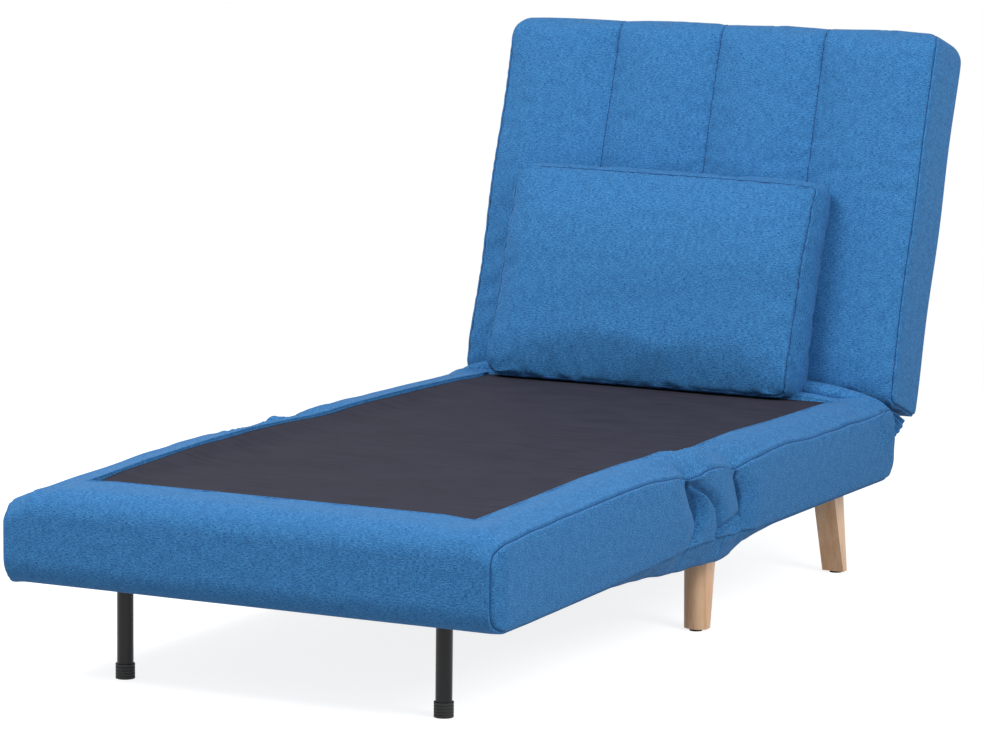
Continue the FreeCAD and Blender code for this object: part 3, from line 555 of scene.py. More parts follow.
def flowing(at, stops, values, step=0.002, width=15):
    """Values along a line of stops that pass from one to the next without a kink."""
    fine = np.arange(stops[0] - 0.05, stops[-1] + 0.05, step)
    window = np.hanning(width + 2)[1:-1]
    heights = np.interp(fine, stops, values)
    ends = width // 2
    held = np.concatenate([np.full(ends, heights[0]), heights, np.full(ends, heights[-1])])
    return np.interp(at, fine, np.convolve(held, window / window.sum(), "valid"))


def hem_height(x, y):
    """How far the border's inner edge stands above the deck."""
    return np.where(x > 0, flowing(y, HEM_AT, RIGHT_HEM), flowing(y, HEM_AT, LEFT_HEM))


def cloth_height(x, y):
    """The black cloth: flat in the middle, rising to the hem at its edges."""
    away = np.maximum(CLOTH_HALF - np.abs(x), 0)
    ends = np.minimum(y - CLOTH_FRONT, CLOTH_REAR - y)
    rise = (hem_height(x, y) - 0.0022) * np.exp(-(away / 0.030) ** 2) * smooth(ends, -0.01, 0.09)
    bow = 0.0011 * np.sin(x * 17 + 3 * np.sin(y * 7)) * np.sin(y * 11 + 2 * x)
    return rise - 0.0012 + bow * smooth(ends, 0, 0.1)


METAL_INNER, METAL_OUTER = (0.288, 0.296), (0.326, 0.346)
METAL_COVER, METAL_FADE, HINGE_REACH = 0.0030, 0.030, 0.014


def metal_height(x, y):
    """How high the border must stand to cover the frame's side tubes and the fold hinges."""
    beside = smooth(np.abs(x), *METAL_INNER) * (1 - smooth(np.abs(x), *METAL_OUTER))
    over_hinge = np.exp(-((y - FOLD_Y) / HINGE_REACH) ** 4)
    top = FRAME_TOP + (HINGE_TOP - FRAME_TOP) * over_hinge
    return top + METAL_COVER - DECK - METAL_FADE * (1 - beside)


def border_height(x, y):
    """The blue border, from the hem over a low crest to the side seam."""
    hem = hem_height(x, y)
    rim = np.where(x > 0, flowing(y, ALONG, RIGHT_RIM), flowing(y, ALONG, LEFT_RIM))
    crest = np.where(x > 0, np.maximum(hem, rim) + 0.0035, 0.45 * hem + 0.55 * rim + 0.003)
    at = (np.abs(x) - CLOTH_HALF) / (HALF - CLOTH_HALF)
    up = np.where(at < 0.5, hem + (crest - hem) * smooth(at, 0, 0.5),
                  crest + (rim - crest) * smooth(at, 0.5, 1.0) ** 1.2)
    up = np.maximum(up, metal_height(x, y))
    inner = 0.0012 + 0.0035 * smooth(np.minimum(y - FOOT, REAR - y), 0.0, 0.05)
    return inner + (up - inner) * smooth(np.abs(x), CLOTH_HALF - 0.05, CLOTH_HALF)


def fan(across, along, turns, near, far):
    """Pulls in the cloth that spread from a point, across and along it from there."""
    distance = np.hypot(across, along)
    fade = np.exp(-((distance - near) / far) ** 2) * smooth(distance, 0.004, 0.025)
    return fade * np.sin(np.arctan2(along, across) * turns + 0.5 * np.sin(distance * 60))


def top_height(x, y):
    inside = smooth(CLOTH_HALF - np.abs(x), 0.0, LIP) * smooth(y - CLOTH_FRONT, 0.0, LIP)
    inside = inside * smooth(CLOTH_REAR - y, 0.0, LIP)
    pulls = 0.0011 * fan(HALF - np.abs(x), FOOT + 0.600 - y, 34, 0.060, 0.045)
    pulls = pulls + 0.0012 * fan(HALF - np.abs(x), FOOT + 0.745 - y, 40, 0.070, 0.055)
    from_rear = REAR - y
    pulls = pulls + 0.004 * np.exp(-((from_rear - 0.048) / 0.010) ** 2) * smooth(HALF - np.abs(x), 0.0, 0.02)
    pulls = pulls - 0.003 * np.exp(-((from_rear - 0.034) / 0.006) ** 2)
    ripple = 0.0008 * np.sin(y * 47 + 1.7 * np.sin(y * 13 + x * 5)) * np.sin(x * 60 + y * 6)
    border = border_height(x, y) + pulls + ripple
    return border * (1 - inside) + (cloth_height(x, y) - 0.0034) * inside


# %% [markdown]
# The side panel's creases lean as they go down, so each one is a line of places along the length, in
# millimetres from the foot end, at seven heights from bottom to top.

# %% Gathers in the sides
CREASE_Z = np.array([0.145, 0.165, 0.180, 0.200, 0.220, 0.235, 0.255])
CREASES = [np.array(row) / 1000 for row in (
    [600, 604, 606, 597, 585, 578, 570], [572, 610, 625, 628, 619, 607, 592],
    [681, 677, 674, 668, 646, 622, 596], [766, 761, 757, 750, 744, 740, 736],
    [764, 763, 765, 768, 760, 752, 744])]
GATHER_LINES = {FOLD_Y: (0.540, 0.586, 0.612, 0.653), REAR: (0.653, 0.700, 0.749, 0.800)}


def crease(number, z):
    """Where one crease crosses a height."""
    return FOOT + flowing(z, CREASE_Z, CREASES[number], 0.001, 21)


def past_creases(y, z):
    """How far each place lies behind each crease."""
    z = np.clip(z, CREASE_Z[0], CREASE_Z[-1])
    return [y - crease(number, z) for number in range(len(CREASES))]


def lean_with_creases(y, z, y_high):
    """Move the grid's lines on a side panel so that they run along the leaning creases."""
    z = np.clip(z, CREASE_Z[0], CREASE_Z[-1])
    stops = FOOT + np.array(GATHER_LINES[y_high])
    front = (crease(0, z), crease(1, z))
    first, second = front if y_high == FOLD_Y else (np.full_like(z, stops[1]), crease(3, z))
    ends = [np.full_like(z, stops[0]), first, second, np.full_like(z, stops[3])]
    moved = y.copy()
    for i in range(3):
        within = (y >= stops[i]) & (y <= stops[i + 1])
        t = (y - stops[i]) / (stops[i + 1] - stops[i])
        moved = np.where(within, ends[i] + (ends[i + 1] - ends[i]) * t, moved)
    return moved


def valley(away, before, after):
    """A crease between two round folds: 1 at the crease, 0 past the folds' widths."""
    t = np.clip(np.where(away < 0, -away / before, away / after), 0, 1)
    return (1 - t) ** 1.7


def trough(past_first, past_second):
    """The sunk cloth between two creases, with steep sides."""
    return smooth(past_first, -0.002, 0.003) * smooth(-past_second, -0.002, 0.003)


def side_gathers(y, z):
    """How far the side panel lies in from its seams' plane."""
    away = past_creases(y, z)
    plane = 0.004 * smooth(away[1], -0.004, 0.006) * smooth(-away[4], -0.004, 0.008)
    drop = np.maximum.reduce([
        plane, 0.009 * valley(away[0], 0.045, 0.010), 0.026 * trough(away[0], away[1]),
        0.022 * valley(away[1], 0.005, 0.024), plane + 0.018 * valley(away[2], 0.008, 0.034),
        plane + 0.007 * valley(away[3], 0.050, 0.010), 0.022 * trough(away[3], away[4]),
        0.014 * valley(away[4], 0.006, 0.038)])
    for along, heights, deep in (((0.672, 0.720, 0.762), (0.146, 0.158, 0.170), 0.016),
                                 ((0.700, 0.720, 0.756), (0.132, 0.141, 0.156), 0.010)):
        above = z - np.interp(y - FOOT, along, heights)
        inside = smooth(y - FOOT, along[0] - 0.010, along[0] + 0.010)
        inside = inside * (1 - smooth(y - FOOT, along[2] - 0.006, along[2] + 0.008))
        drop = np.maximum(drop, plane + deep * inside * valley(above, 0.008, 0.018))
    return drop


def crease_shade(y, z):
    """Painted shade for the side creases: 1 in a crease, where light hardly reaches."""
    away = past_creases(y, z)
    shade = [np.exp(-(away[number] / 0.0030) ** 2) for number in (1, 2, 4)]
    shade[1] = shade[1] + 0.45 * np.exp(-((away[2] - 0.008) / 0.010) ** 2) * (away[2] > 0)
    return np.clip(sum(shade) + 0.5 * trough(away[0], away[1]) + 0.7 * trough(away[3], away[4]), 0, 1)


def underside(x, y):
    """How far the bottom lies above or below the flat underside: slack hangs under the gathers."""
    along = FOOT + np.array([0.0, 0.1, 0.36, 0.48, 0.565, 0.61, 0.67, 0.72, 0.76, 0.80, 0.90, 1.318])
    rim = np.interp(y, along, np.array([-5, -4, 2, 7, 11, 11, 10, 8, 7, 5, 5, 6]) / 1000)
    rim = rim - 0.003 * smooth(-x, 0.1, 0.3) * smooth(FOOT + 0.3 - y, 0, 0.2)
    belly = np.interp(y, along, np.array([-6, -5, -5, -11, -19, -21, -23, -27, -24, -11, -3, 0]) / 1000)
    slack = 0.0006 * np.sin(y * 90 + x * 25) * smooth(-belly, 0.004, 0.012)
    return belly + slack + (rim - belly) * smooth(np.abs(x), HALF - 0.024, HALF - 0.002)


# %% [markdown]
# ## The front and seat sections
# Both are the same sewn block: a strip wrapped round top, front and bottom with flat caps at the
# sides. Their ends meet on the fold line.

# %% A mesh of its own for each piece
def press(piece):
    """Give the piece its own copy of its mesh."""
    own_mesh(piece)


# %% Section covers
GRID_ALONG, GRID_GATHERED, GRID_BORDER, GRID_UP = 0.0075, 0.0024, 0.0035, 0.0045
GATHERED = (FOOT + 0.54, FOOT + 0.79)


def section(name, body, y_low, y_high, z_corners, wells, hides):
    seam = [HALF - r for r in SEAM_REACH]
    hem_x = [CLOTH_HALF - LIP, CLOTH_HALF - LIP / 2, CLOTH_HALF, CLOTH_HALF + 0.002]
    xs = sorted([0.0] + [s for v in seam + hem_x + wells["x"] for s in (v, -v)])
    hem_y = [v for v in (CLOTH_FRONT - 0.002, CLOTH_FRONT, CLOTH_FRONT + LIP / 2, CLOTH_FRONT + LIP,
                         CLOTH_REAR - LIP, CLOTH_REAR - LIP / 2, CLOTH_REAR, CLOTH_REAR + 0.002)
             if y_low < v < y_high]
    ends = [y_low + r for r in SEAM_REACH[1:]] + [y_high - r for r in SEAM_REACH[1:]]
    ys = sorted({round(v, 6) for v in [y_low, y_high] + hem_y + ends + wells["y"]})
    creases = [FOOT + v + d for v in GATHER_LINES[y_high] for d in (-0.002, -0.001, 0, 0.001, 0.002)]
    ys = sorted(ys + [v for v in creases if y_low + 0.0005 < v < y_high - 0.0005])
    ys = lines(ys, GRID_ALONG)
    gathered = np.arange(max(y_low, GATHERED[0]), min(y_high, GATHERED[1]), GRID_GATHERED)
    finer = [v for v in gathered if np.min(np.abs(ys - v)) > 0.0009]
    ys = np.array(sorted([*ys, *finer]))
    border = [v for v in lines(xs, GRID_BORDER) if abs(v) > CLOTH_HALF - 0.008]
    middle = [*lines([-CLOTH_HALF + 0.01, CLOTH_HALF - 0.01], 0.014), *(w for w in xs if abs(w) < 0.27)]
    xs = np.array(sorted({*border, *middle}))
    panels = Panels(xs, ys, lines(seamed(UNDERSIDE, DECK), GRID_UP))
    joined = 1 if y_high == FOLD_Y else 0
    places, edge_depth, cap_depth, side = sewn(panels, 0, z_corners, rim=0.007, groove=0.0022,
                                               joined=joined)
    x, y, z = panels.flat.T
    share = (z - UNDERSIDE) / (DECK - UNDERSIDE)
    gather_share = smooth(np.abs(x), CLOTH_HALF + 0.004, HALF - 0.01)
    leaning = lean_with_creases(places[:, 1], places[:, 2], y_high)
    places[:, 1] += (leaning - places[:, 1]) * gather_share
    lattice_z = places[:, 2].copy()
    places[:, 2] += top_height(x, places[:, 1]) * smooth(share, 0.35, 1.0)
    places[:, 2] += underside(x, places[:, 1]) * (1 - smooth(share, 0.0, 0.6))
    on_side = smooth(0.03 - cap_depth, 0, 0.03)
    fold_side = [v for v in (y_low, y_high) if abs(v - FOLD_Y) < HAIR]
    from_seam = np.minimum(share, 1 - share)
    end_fade = smooth(np.minimum(y - FOOT, REAR - y), 0.0, 0.03)
    bulge = 0.0045 * (1 - np.exp(-from_seam * (DECK - UNDERSIDE) / 0.016)) * end_fade
    gathers = side_gathers(places[:, 1], lattice_z) * (0.4 + 0.6 * smooth(from_seam, 0.0, 0.16))
    puckers = 0.0007 * np.sin(y * 260 + 4 * np.sin(y * 31)) * np.exp(-((share - 0.93) / 0.06) ** 2)
    corner_pulls = 0.0022 * fan(DECK - 0.006 - lattice_z, y - REAR + 0.030, 19, 0.040, 0.030)
    corner_pulls = corner_pulls * smooth(REAR - y, 0.0, 0.012)
    tuck = np.where(x > 0, 0.006, 0.003) * (1 - smooth(y - FOOT, 0.0, 0.035)) ** 2
    places[:, 0] += side * on_side * (bulge - gathers + puckers + corner_pulls - tuck)
    rear_puff = 0.004 * smooth(from_seam, 0.0, 0.3) * smooth(cap_depth, 0.0, 0.02)
    places[:, 1] += rear_puff * (y > REAR - 0.012)
    if wells["y"]:
        wx, wy = wells["x"], wells["y"]
        in_well = ((np.abs(x) > wx[1] - HAIR) & (np.abs(x) < wx[2] + HAIR)
                   & (y > wy[1] - HAIR) & (y < wy[2] + HAIR) & (z < UNDERSIDE + HAIR))
        places[in_well, 2] = wells["top"]
    on_cap = smooth(np.abs(x), HALF - 0.004, HALF - 0.001)
    # Painted shade in the side creases, only on the side panels and fading out just below the top seam.
    creases = crease_shade(places[:, 1], lattice_z) * on_cap * smooth(1 - share, 0.015, 0.05)
    piece = panels.mesh(name, places, blue, fold_side, creases)
    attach(piece, body)
    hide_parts(*hides)
    press(piece)
    print(name, len(places), "corners,", len(panels.quads), "quads")
    seams[name] = (panels, places)


seams = {}
bracket_low, bracket_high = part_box("right_leg_bracket")
leg_low, leg_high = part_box("right_tube_leg")
leg_reach = leg_high[2] - leg_low[2]
well_x = [bracket_low[0] - 0.005, bracket_low[0] - 0.004, bracket_high[0] + 0.004,
          bracket_high[0] + 0.005]
well_y = [leg_low[1] - 0.006, leg_low[1] - 0.005, leg_low[1] + leg_reach + 0.030,
          leg_low[1] + leg_reach + 0.031]
section("front_cushion", "front_section", FOOT, FOLD_Y, [(0.034, 0.034), (0.012, 0.004)],
        {"x": well_x, "y": well_y, "top": leg_high[2] + 0.006}, ["front_cover", "front_foam"])
section("seat_cushion", "seat_section", FOLD_Y, REAR, [(0.012, 0.004), (0.034, 0.030)],
        {"x": [], "y": []}, ["seat_cover", "seat_foam"])

# %% [markdown]
# ## Thread and hems
# The seams are sewn with a slightly darker thread, one short stitch after another, and the border's
# inner edge is turned over a cord of its own cloth.

# %% Thread
STITCH = 0.005
STITCH_RADII = (0.0011, 0.0007)


def rings(count, sides, closed):
    """Faces between rings of corners, with an end face on each end of an open run."""
    quads = [(i * sides + j, ((i + 1) % count) * sides + j, ((i + 1) % count) * sides + (j + 1) % sides,
              i * sides + (j + 1) % sides)
             for i in range(count if closed else count - 1) for j in range(sides)]
    if not closed:
        quads += [tuple(range(sides)), tuple((count - 1) * sides + j for j in reversed(range(sides)))]
    return quads


def tube(name, path, radii, finish, body, closed, sides):
    """A round strand along a path of points, with its own radius at each point."""
    path = np.asarray(path, float)
    ahead = np.roll(path, -1, 0) - np.roll(path, 1, 0)
    if not closed:
        ahead[0], ahead[-1] = path[1] - path[0], path[-1] - path[-2]
    ahead /= np.linalg.norm(ahead, axis=1, keepdims=True)
    across = np.cross(ahead, [0.31, 0.17, 0.93])
    across /= np.linalg.norm(across, axis=1, keepdims=True)
    other = np.cross(ahead, across)
    turns = np.arange(sides) * 2 * math.pi / sides
    ring = (across[:, None] * np.cos(turns)[:, None] + other[:, None] * np.sin(turns)[:, None])
    corners = (path[:, None] + ring * np.asarray(radii)[:, None, None]).reshape(-1, 3)
    piece = solid(name, corners, rings(len(path), sides, closed), finish)
    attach(piece, body)
    return piece


def resample(path, step):
    """Points a step apart along a path."""
    path = np.asarray(path, float)
    run = np.concatenate([[0], np.cumsum(np.linalg.norm(np.diff(path, axis=0), axis=1))])
    at = np.linspace(0, run[-1], max(3, int(run[-1] / step)))
    return np.stack([np.interp(at, run, path[:, axis]) for axis in range(3)], -1)


def sew(name, path, body, closed):
    """Stitches that dip into the cloth between one another."""
    path = resample(path, STITCH / 2)
    if closed and len(path) % 2:
        path = path[:-1]
    radii = np.where(np.arange(len(path)) % 2, *STITCH_RADII)
    return tube(name, path, radii, stitching, body, closed, 5)


def around_cap(flat, low, high, cap_axis, at):
    """Corner numbers round one cap's edge, in order."""
    a, b = [axis for axis in (0, 1, 2) if axis != cap_axis]
    pick = np.flatnonzero(np.abs(flat[:, cap_axis] - at) < HAIR)
    fa = (flat[pick, a] - low[a]) / (high[a] - low[a])
    fb = (flat[pick, b] - low[b]) / (high[b] - low[b])
    order = np.where(fb < HAIR, fa, np.where(fa > 1 - HAIR, 1 + fb, np.where(
        fb > 1 - HAIR, 3 - fa, np.where(fa < HAIR, 4 - fb, -1))))
    keep = order >= 0
    return pick[keep][np.argsort(order[keep])]


print("thread and hem tools ready")

# %% [markdown]
# ## The black cloth
# One piece of charcoal cloth is let into the top of both sections, under the turned edge of the
# blue border. It dips a little along the fold line.

# %% Cloth on top
def top_cloth():
    tucked = LIP / 2 - 0.0005
    half = CLOTH_HALF - tucked
    xs = lines([-half, -CLOTH_HALF + 0.03, CLOTH_HALF - 0.03, half], 0.008)
    fold_lines = [FOLD_Y + d for d in (-0.02, -0.012, -0.008, -0.004, 0, 0.004, 0.008, 0.012, 0.02)]
    ys = lines([CLOTH_FRONT + tucked, *fold_lines, CLOTH_REAR - tucked], 0.009)
    panels = Panels(xs, ys, np.array([0.0, 0.0011]))
    places = panels.flat.copy()
    x, y = places[:, 0], places[:, 1]
    dip = 0.0005 * np.exp(-((y - FOLD_Y) / 0.006) ** 2)
    places[:, 2] += DECK + cloth_height(x, y) - 0.0016 - dip
    piece = panels.mesh("black_top_cloth", places, charcoal)
    return piece, (float(xs[-1] - xs[0]), float(ys[-1] - ys[0]))


cloth, cloth_size = top_cloth()
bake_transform(cloth)
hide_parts("seat_top_cloth", "front_top_cloth")
print(f"black cloth {cloth_size[0]:.3f} by {cloth_size[1]:.3f} m")

# %% Side seams and hems
for name, body in (("front_cushion", "front_section"), ("seat_cushion", "seat_section")):
    panels, places = seams[name]
    for at, hand in ((-HALF, "left"), (HALF, "right")):
        rim = around_cap(panels.flat, panels.low, panels.high, 0, at)
        on_fold = np.abs(panels.flat[rim, 1] - FOLD_Y) < HAIR
        leaves_fold = np.flatnonzero(on_fold & ~np.roll(on_fold, -1))[0]
        rim, on_fold = np.roll(rim, -leaves_fold), np.roll(on_fold, -leaves_fold)
        press(sew(f"{hand}_{name}_seam", places[rim[~on_fold]], body, False))


HEM_OUT, HEM_RADIUS = 0.0006, 0.0015


def hem(name, body, at_fold, at_end):
    """The turned edge round three sides of one section's opening."""
    edge = CLOTH_HALF + HEM_OUT
    path = resample([(-edge, at_fold, 0), (-edge, at_end, 0), (edge, at_end, 0), (edge, at_fold, 0)], 0.004)
    path[:, 2] = DECK + border_height(path[:, 0], path[:, 1]) - HEM_OUT
    press(tube(name, path, np.full(len(path), HEM_RADIUS), FINISHES["blue_weave"], body, False, 8))


hem("front_hem", "front_section", FOLD_Y - 0.0003, CLOTH_FRONT - HEM_OUT)
hem("seat_hem", "seat_section", FOLD_Y + 0.0003, CLOTH_REAR + HEM_OUT)
print("side seams and hems sewn")

# %% [markdown]
# Folded up, the two sections show their ends, one over the other. Each end has a welt of the same
# cloth along the fold, so that the hinges don't show. With the bed open, the welts lie hidden in
# the neighbouring section's edge.

# %% Welts along the fold
WELT_OUT, WELT_BELOW, WELT_RADIUS = 0.0078, 0.0130, 0.0070


def fold_welt(name, body, y):
    xs = lines([-HALF + 0.027, 0, HALF - 0.027], 0.008)
    path = np.stack([xs, np.full(len(xs), y), np.full(len(xs), FOLD_Z - WELT_BELOW)], -1)
    radii = WELT_RADIUS * np.sqrt(np.clip(1 - (np.abs(xs) / (HALF - 0.026)) ** 40, 0.05, 1))
    radii = radii + 0.0003 * np.sin(xs * 120 + 2 * np.sin(xs * 37))
    tube(name, path, radii, FINISHES["blue_weave"], body, False, 16)


fold_welt("lower_fold_welt", "seat_section", FOLD_Y - WELT_OUT)
fold_welt("upper_fold_welt", "front_section", FOLD_Y + WELT_OUT)
print("two welts along the fold")

# %% [markdown]
# ## The backrest
# It is built lying flat, as it lies when the bed is open, and then leaned up about the recline
# axis. Three rows of stitching divide its front into four soft channels.

# %% Lean a piece up
def leaned(places, angle=LEAN):
    """Places turned up about the recline axis."""
    y, z = places[:, 1] - RECLINE_Y, places[:, 2] - RECLINE_Z
    up = places.copy()
    up[:, 1] = RECLINE_Y + y * math.cos(angle) - z * math.sin(angle)
    up[:, 2] = RECLINE_Z + y * math.sin(angle) + z * math.cos(angle)
    return up


def flat_extent(node):
    """Lowest and highest corners of a leaning node, turned back to lying flat."""
    corners = leaned(np.array([v.co[:] for v in frame["nodes"][node].data.vertices]), -LEAN)
    return corners.min(0), corners.max(0)


back_low, back_high = flat_extent("back_cover")
pillow_low, pillow_high = flat_extent("pillow_cover")
print("backrest flat", back_low.round(4), back_high.round(4))
print("pillow flat", pillow_low.round(4), pillow_high.round(4))

# %% Backrest cover
CHANNELS = (-0.177, 0.0, 0.177)
BACK_NARROWER = 0.0085


def backrest():
    low, high = back_low, back_high
    reach = (-0.008, -0.004, -0.002, -0.001, 0, 0.001, 0.002, 0.004, 0.008)
    xs = sorted({round(v, 6) for v in seamed(-HALF, HALF, [c + d for c in CHANNELS for d in reach])})
    ys, zs = seamed(low[1], high[1]), seamed(low[2], high[2])
    panels = Panels(lines(xs, 0.008), lines(ys, 0.0075), lines(zs, 0.007))
    places, edge_depth, cap_depth, side = sewn(panels, 0, [(0.012, 0.012), (0.034, 0.028)],
                                               rim=0.006, groove=0.0018)
    x, y, z = panels.flat.T
    share = (z - low[2]) / (high[2] - low[2])
    from_end, from_start = high[1] - y, y - low[1]
    channel = np.minimum.reduce([np.abs(x - c) for c in CHANNELS])
    sewn_down = 0.0030 * np.exp(-channel / 0.012) + 0.0024 * np.exp(-(channel / 0.0014) ** 2)
    puff = 0.0040 * np.clip(channel / 0.088, 0, 1) ** 0.6
    edge_fade = smooth(HALF - np.abs(x), 0.0, 0.05)
    face = smooth(share, 0.4, 1.0)
    pucker = 0.0008 * np.sin(y * 300 + 5 * np.sin(y * 23 + x * 9)) * np.exp(-channel / 0.010)
    pucker += 0.0008 * np.sin(y * 270 + 3 * np.sin(y * 37)) * np.exp(-(HALF - np.abs(x)) / 0.012)
    slack = 0.0016 * np.sin(y * 21 + 2 * np.sin(x * 13)) * np.sin(x * 17 + 1.3)
    low_left = np.exp(-((x + 0.310) / 0.040) ** 2) * smooth(from_start, 0.02, 0.06)
    low_left = low_left * (1 - smooth(from_start, 0.17, 0.30))
    folds = 0.0030 * low_left * np.sin(y * 135 - x * 60 + 1.5 * np.sin(y * 30))
    belly = -0.006 * smooth(0.06 - from_start, 0, 0.06)
    places[:, 2] += face * (puff * edge_fade - sewn_down * smooth(from_end, -0.002, 0.012) + pucker
                            + slack + folds + belly)
    places[:, 1] -= 0.006 * (1 - share) * smooth(0.06 - from_start, 0, 0.06)
    bulge = 0.0020 * (1 - np.exp(-np.minimum(share, 1 - share) * 0.11 / 0.014))
    wobble = 0.0010 * np.sin(y * 24 + 0.8)
    places[:, 0] += side * smooth(0.03 - cap_depth, 0, 0.03) * (bulge + wobble)
    places[:, 0] *= 1 - BACK_NARROWER / HALF
    top_round = np.where(x > 0, 0.024, 0.036)
    places[:, 1] -= 0.003 * smooth(-x, 0.0, HALF) * smooth(0.1 - from_end, 0, 0.1)
    over = np.clip((places[:, 1] - (high[1] - top_round)) / top_round, 0, 1)
    trim = top_round * (1 - np.sqrt(1 - over ** 2 * 0.97))
    places[:, 0] -= np.sign(x) * trim * smooth(np.abs(x), HALF - 0.16, HALF)
    held = (cap_depth < HAIR) | (channel < HAIR) | (share < 0.3)
    places = inflated("backrest_trial", panels, places, np.flatnonzero(held),
                      pressure=3.0, furthest=0.008, slack=0.008)
    return panels, leaned(places)


back_panels, back_places = backrest()
backrest_cushion = back_panels.mesh("backrest_cushion", back_places, blue)
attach(backrest_cushion, "backrest")
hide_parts("back_cover", "back_foam")
for at, hand in ((-HALF, "left"), (HALF, "right")):
    rim = around_cap(back_panels.flat, back_panels.low, back_panels.high, 0, at)
    sew(f"{hand}_backrest_seam", back_places[rim], "backrest", True)
for row, at in zip(("left", "middle", "right"), CHANNELS):
    flat = back_panels.flat
    on_row = np.flatnonzero((np.abs(flat[:, 0] - at) < HAIR)
                            & ((flat[:, 2] > back_high[2] - HAIR) | (flat[:, 1] > back_high[1] - HAIR))
                            & (flat[:, 2] > back_low[2] + 0.085))
    order = np.lexsort((-flat[on_row, 2], flat[on_row, 1]))
    sew(f"{row}_channel_stitching", back_places[on_row[order]], "backrest", False)
print("backrest", len(backrest_cushion.data.vertices), "corners")

# %% [markdown]
# ## The pillow
# A boxed pillow: two crowned faces and a strip sewn between them. It is fuller at the bottom, where
# its filling has settled, than along its top edge.

# %% Pillow
PILLOW_LOW_SHIFT = (-0.009, 0.004, 0.004)


def pillow():
    low, high = pillow_low.copy(), pillow_high.copy()
    low += PILLOW_LOW_SHIFT
    high[2] -= 0.006
    xs, ys, zs = (seamed(low[axis], high[axis]) for axis in range(3))
    panels = Panels(lines(xs, 0.008), lines(ys, 0.008), lines(zs, 0.007))
    places, edge_depth, cap_depth, side = sewn(panels, 2, [(0.026, 0.024), (0.020, 0.012)],
                                               rim=0.009, groove=0.0014)
    x, y, z = panels.flat.T
    middle = (low + high) / 2
    u = np.clip(np.abs(x - middle[0]) / (high[0] - low[0]) * 2, 0, 1)
    v = np.clip(np.abs(y - middle[1]) / (high[1] - low[1]) * 2, 0, 1)
    up = (y - low[1]) / (high[1] - low[1])
    swell = ((1 - u ** 2.4) * (1 - v ** 2.4)) ** 0.6
    on_face = smooth(0.025 - cap_depth, 0, 0.025)
    height = np.where(side > 0, 0.015, 0.002)
    pucker = 0.0012 * np.exp(-edge_depth / 0.014) * np.sin((x + y) * 230 + 4 * np.sin((x - y) * 31))
    slack = 0.0018 * np.sin(x * 19 + 2 * np.sin(y * 23)) * np.sin(y * 27 + x * 7) * (side > 0)
    corner_pulls = sum(
        0.0022 * fan(np.abs(x - cx) + HAIR, np.abs(y - cy) + HAIR, 13, 0.030, 0.035)
        for cx in (low[0], high[0]) for cy in (low[1], high[1]))
    share = (z - low[2]) / (high[2] - low[2])
    thinner = -0.014 * smooth(up, 0.55, 1.0) * share - 0.004 * (1 - smooth(up, 0.0, 0.2)) * share
    places[:, 2] += side * on_face * (height * swell + pucker + slack + corner_pulls) + thinner
    places[:, 0] -= np.sign(x - middle[0]) * (0.003 * (1 - v ** 2) * u ** 4)
    places[:, 1] -= np.sign(y - middle[1]) * (0.004 * (1 - u ** 2) * v ** 4)
    places[:, 1] += 0.010 * (1 - u ** 2) * smooth(up, 0.7, 1.0)
    places[:, 1] += 0.005 * smooth(middle[0] - x, 0.0, 0.24) * smooth(up, 0.6, 1.0)
    places[:, 1] -= 0.020 * share * (1 - smooth(up, 0.0, 0.35)) * (1 - 0.3 * u ** 4)
    places[:, 2] += 0.006 * share * (1 - smooth(up, 0.0, 0.4)) * smooth(up, -0.1, 0.1)
    outward = 0.005 * np.exp(-((share - 0.5) / 0.22) ** 2) * smooth(0.02 - edge_depth, 0, 0.02)
    places[:, 0] += np.sign(x - middle[0]) * outward * (u > 0.9)
    places[:, 1] += np.sign(y - middle[1]) * outward * (v > 0.9)
    held = (np.abs(cap_depth) < HAIR) & (edge_depth < HAIR)
    places = inflated("pillow_trial", panels, places, np.flatnonzero(held),
                      pressure=4.0, furthest=0.012, slack=0.012)
    return panels, places


pillow_panels, pillow_flat = pillow()
pillow_places = leaned(pillow_flat)
sunk = np.maximum(DECK + 0.0015 - pillow_places[:, 2], 0)
pillow_places[:, 2] += sunk
pillow_piece = pillow_panels.mesh("pillow", pillow_places, blue)
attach(pillow_piece, "pillow")
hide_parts("pillow_cover", "pillow_filling")
for at, face in ((pillow_panels.low[2], "back"), (pillow_panels.high[2], "front")):
    rim = around_cap(pillow_panels.flat, pillow_panels.low, pillow_panels.high, 2, at)
    sew(f"pillow_{face}_seam", pillow_places[rim], "pillow", True)
print("pillow lifted", round(float(sunk.max()) * 1000, 1), "mm clear of the deck")

# %% [markdown]
# ## The crease behind the seat
# The sleeve is long enough for the backrest to lie flat, so with the backrest up its slack rolls
# into three folds in the crease, drawn together in a knot at each end.

# %% Crease folds
ROLL_SIDES = 20
ROLL_ROUND = 0.05


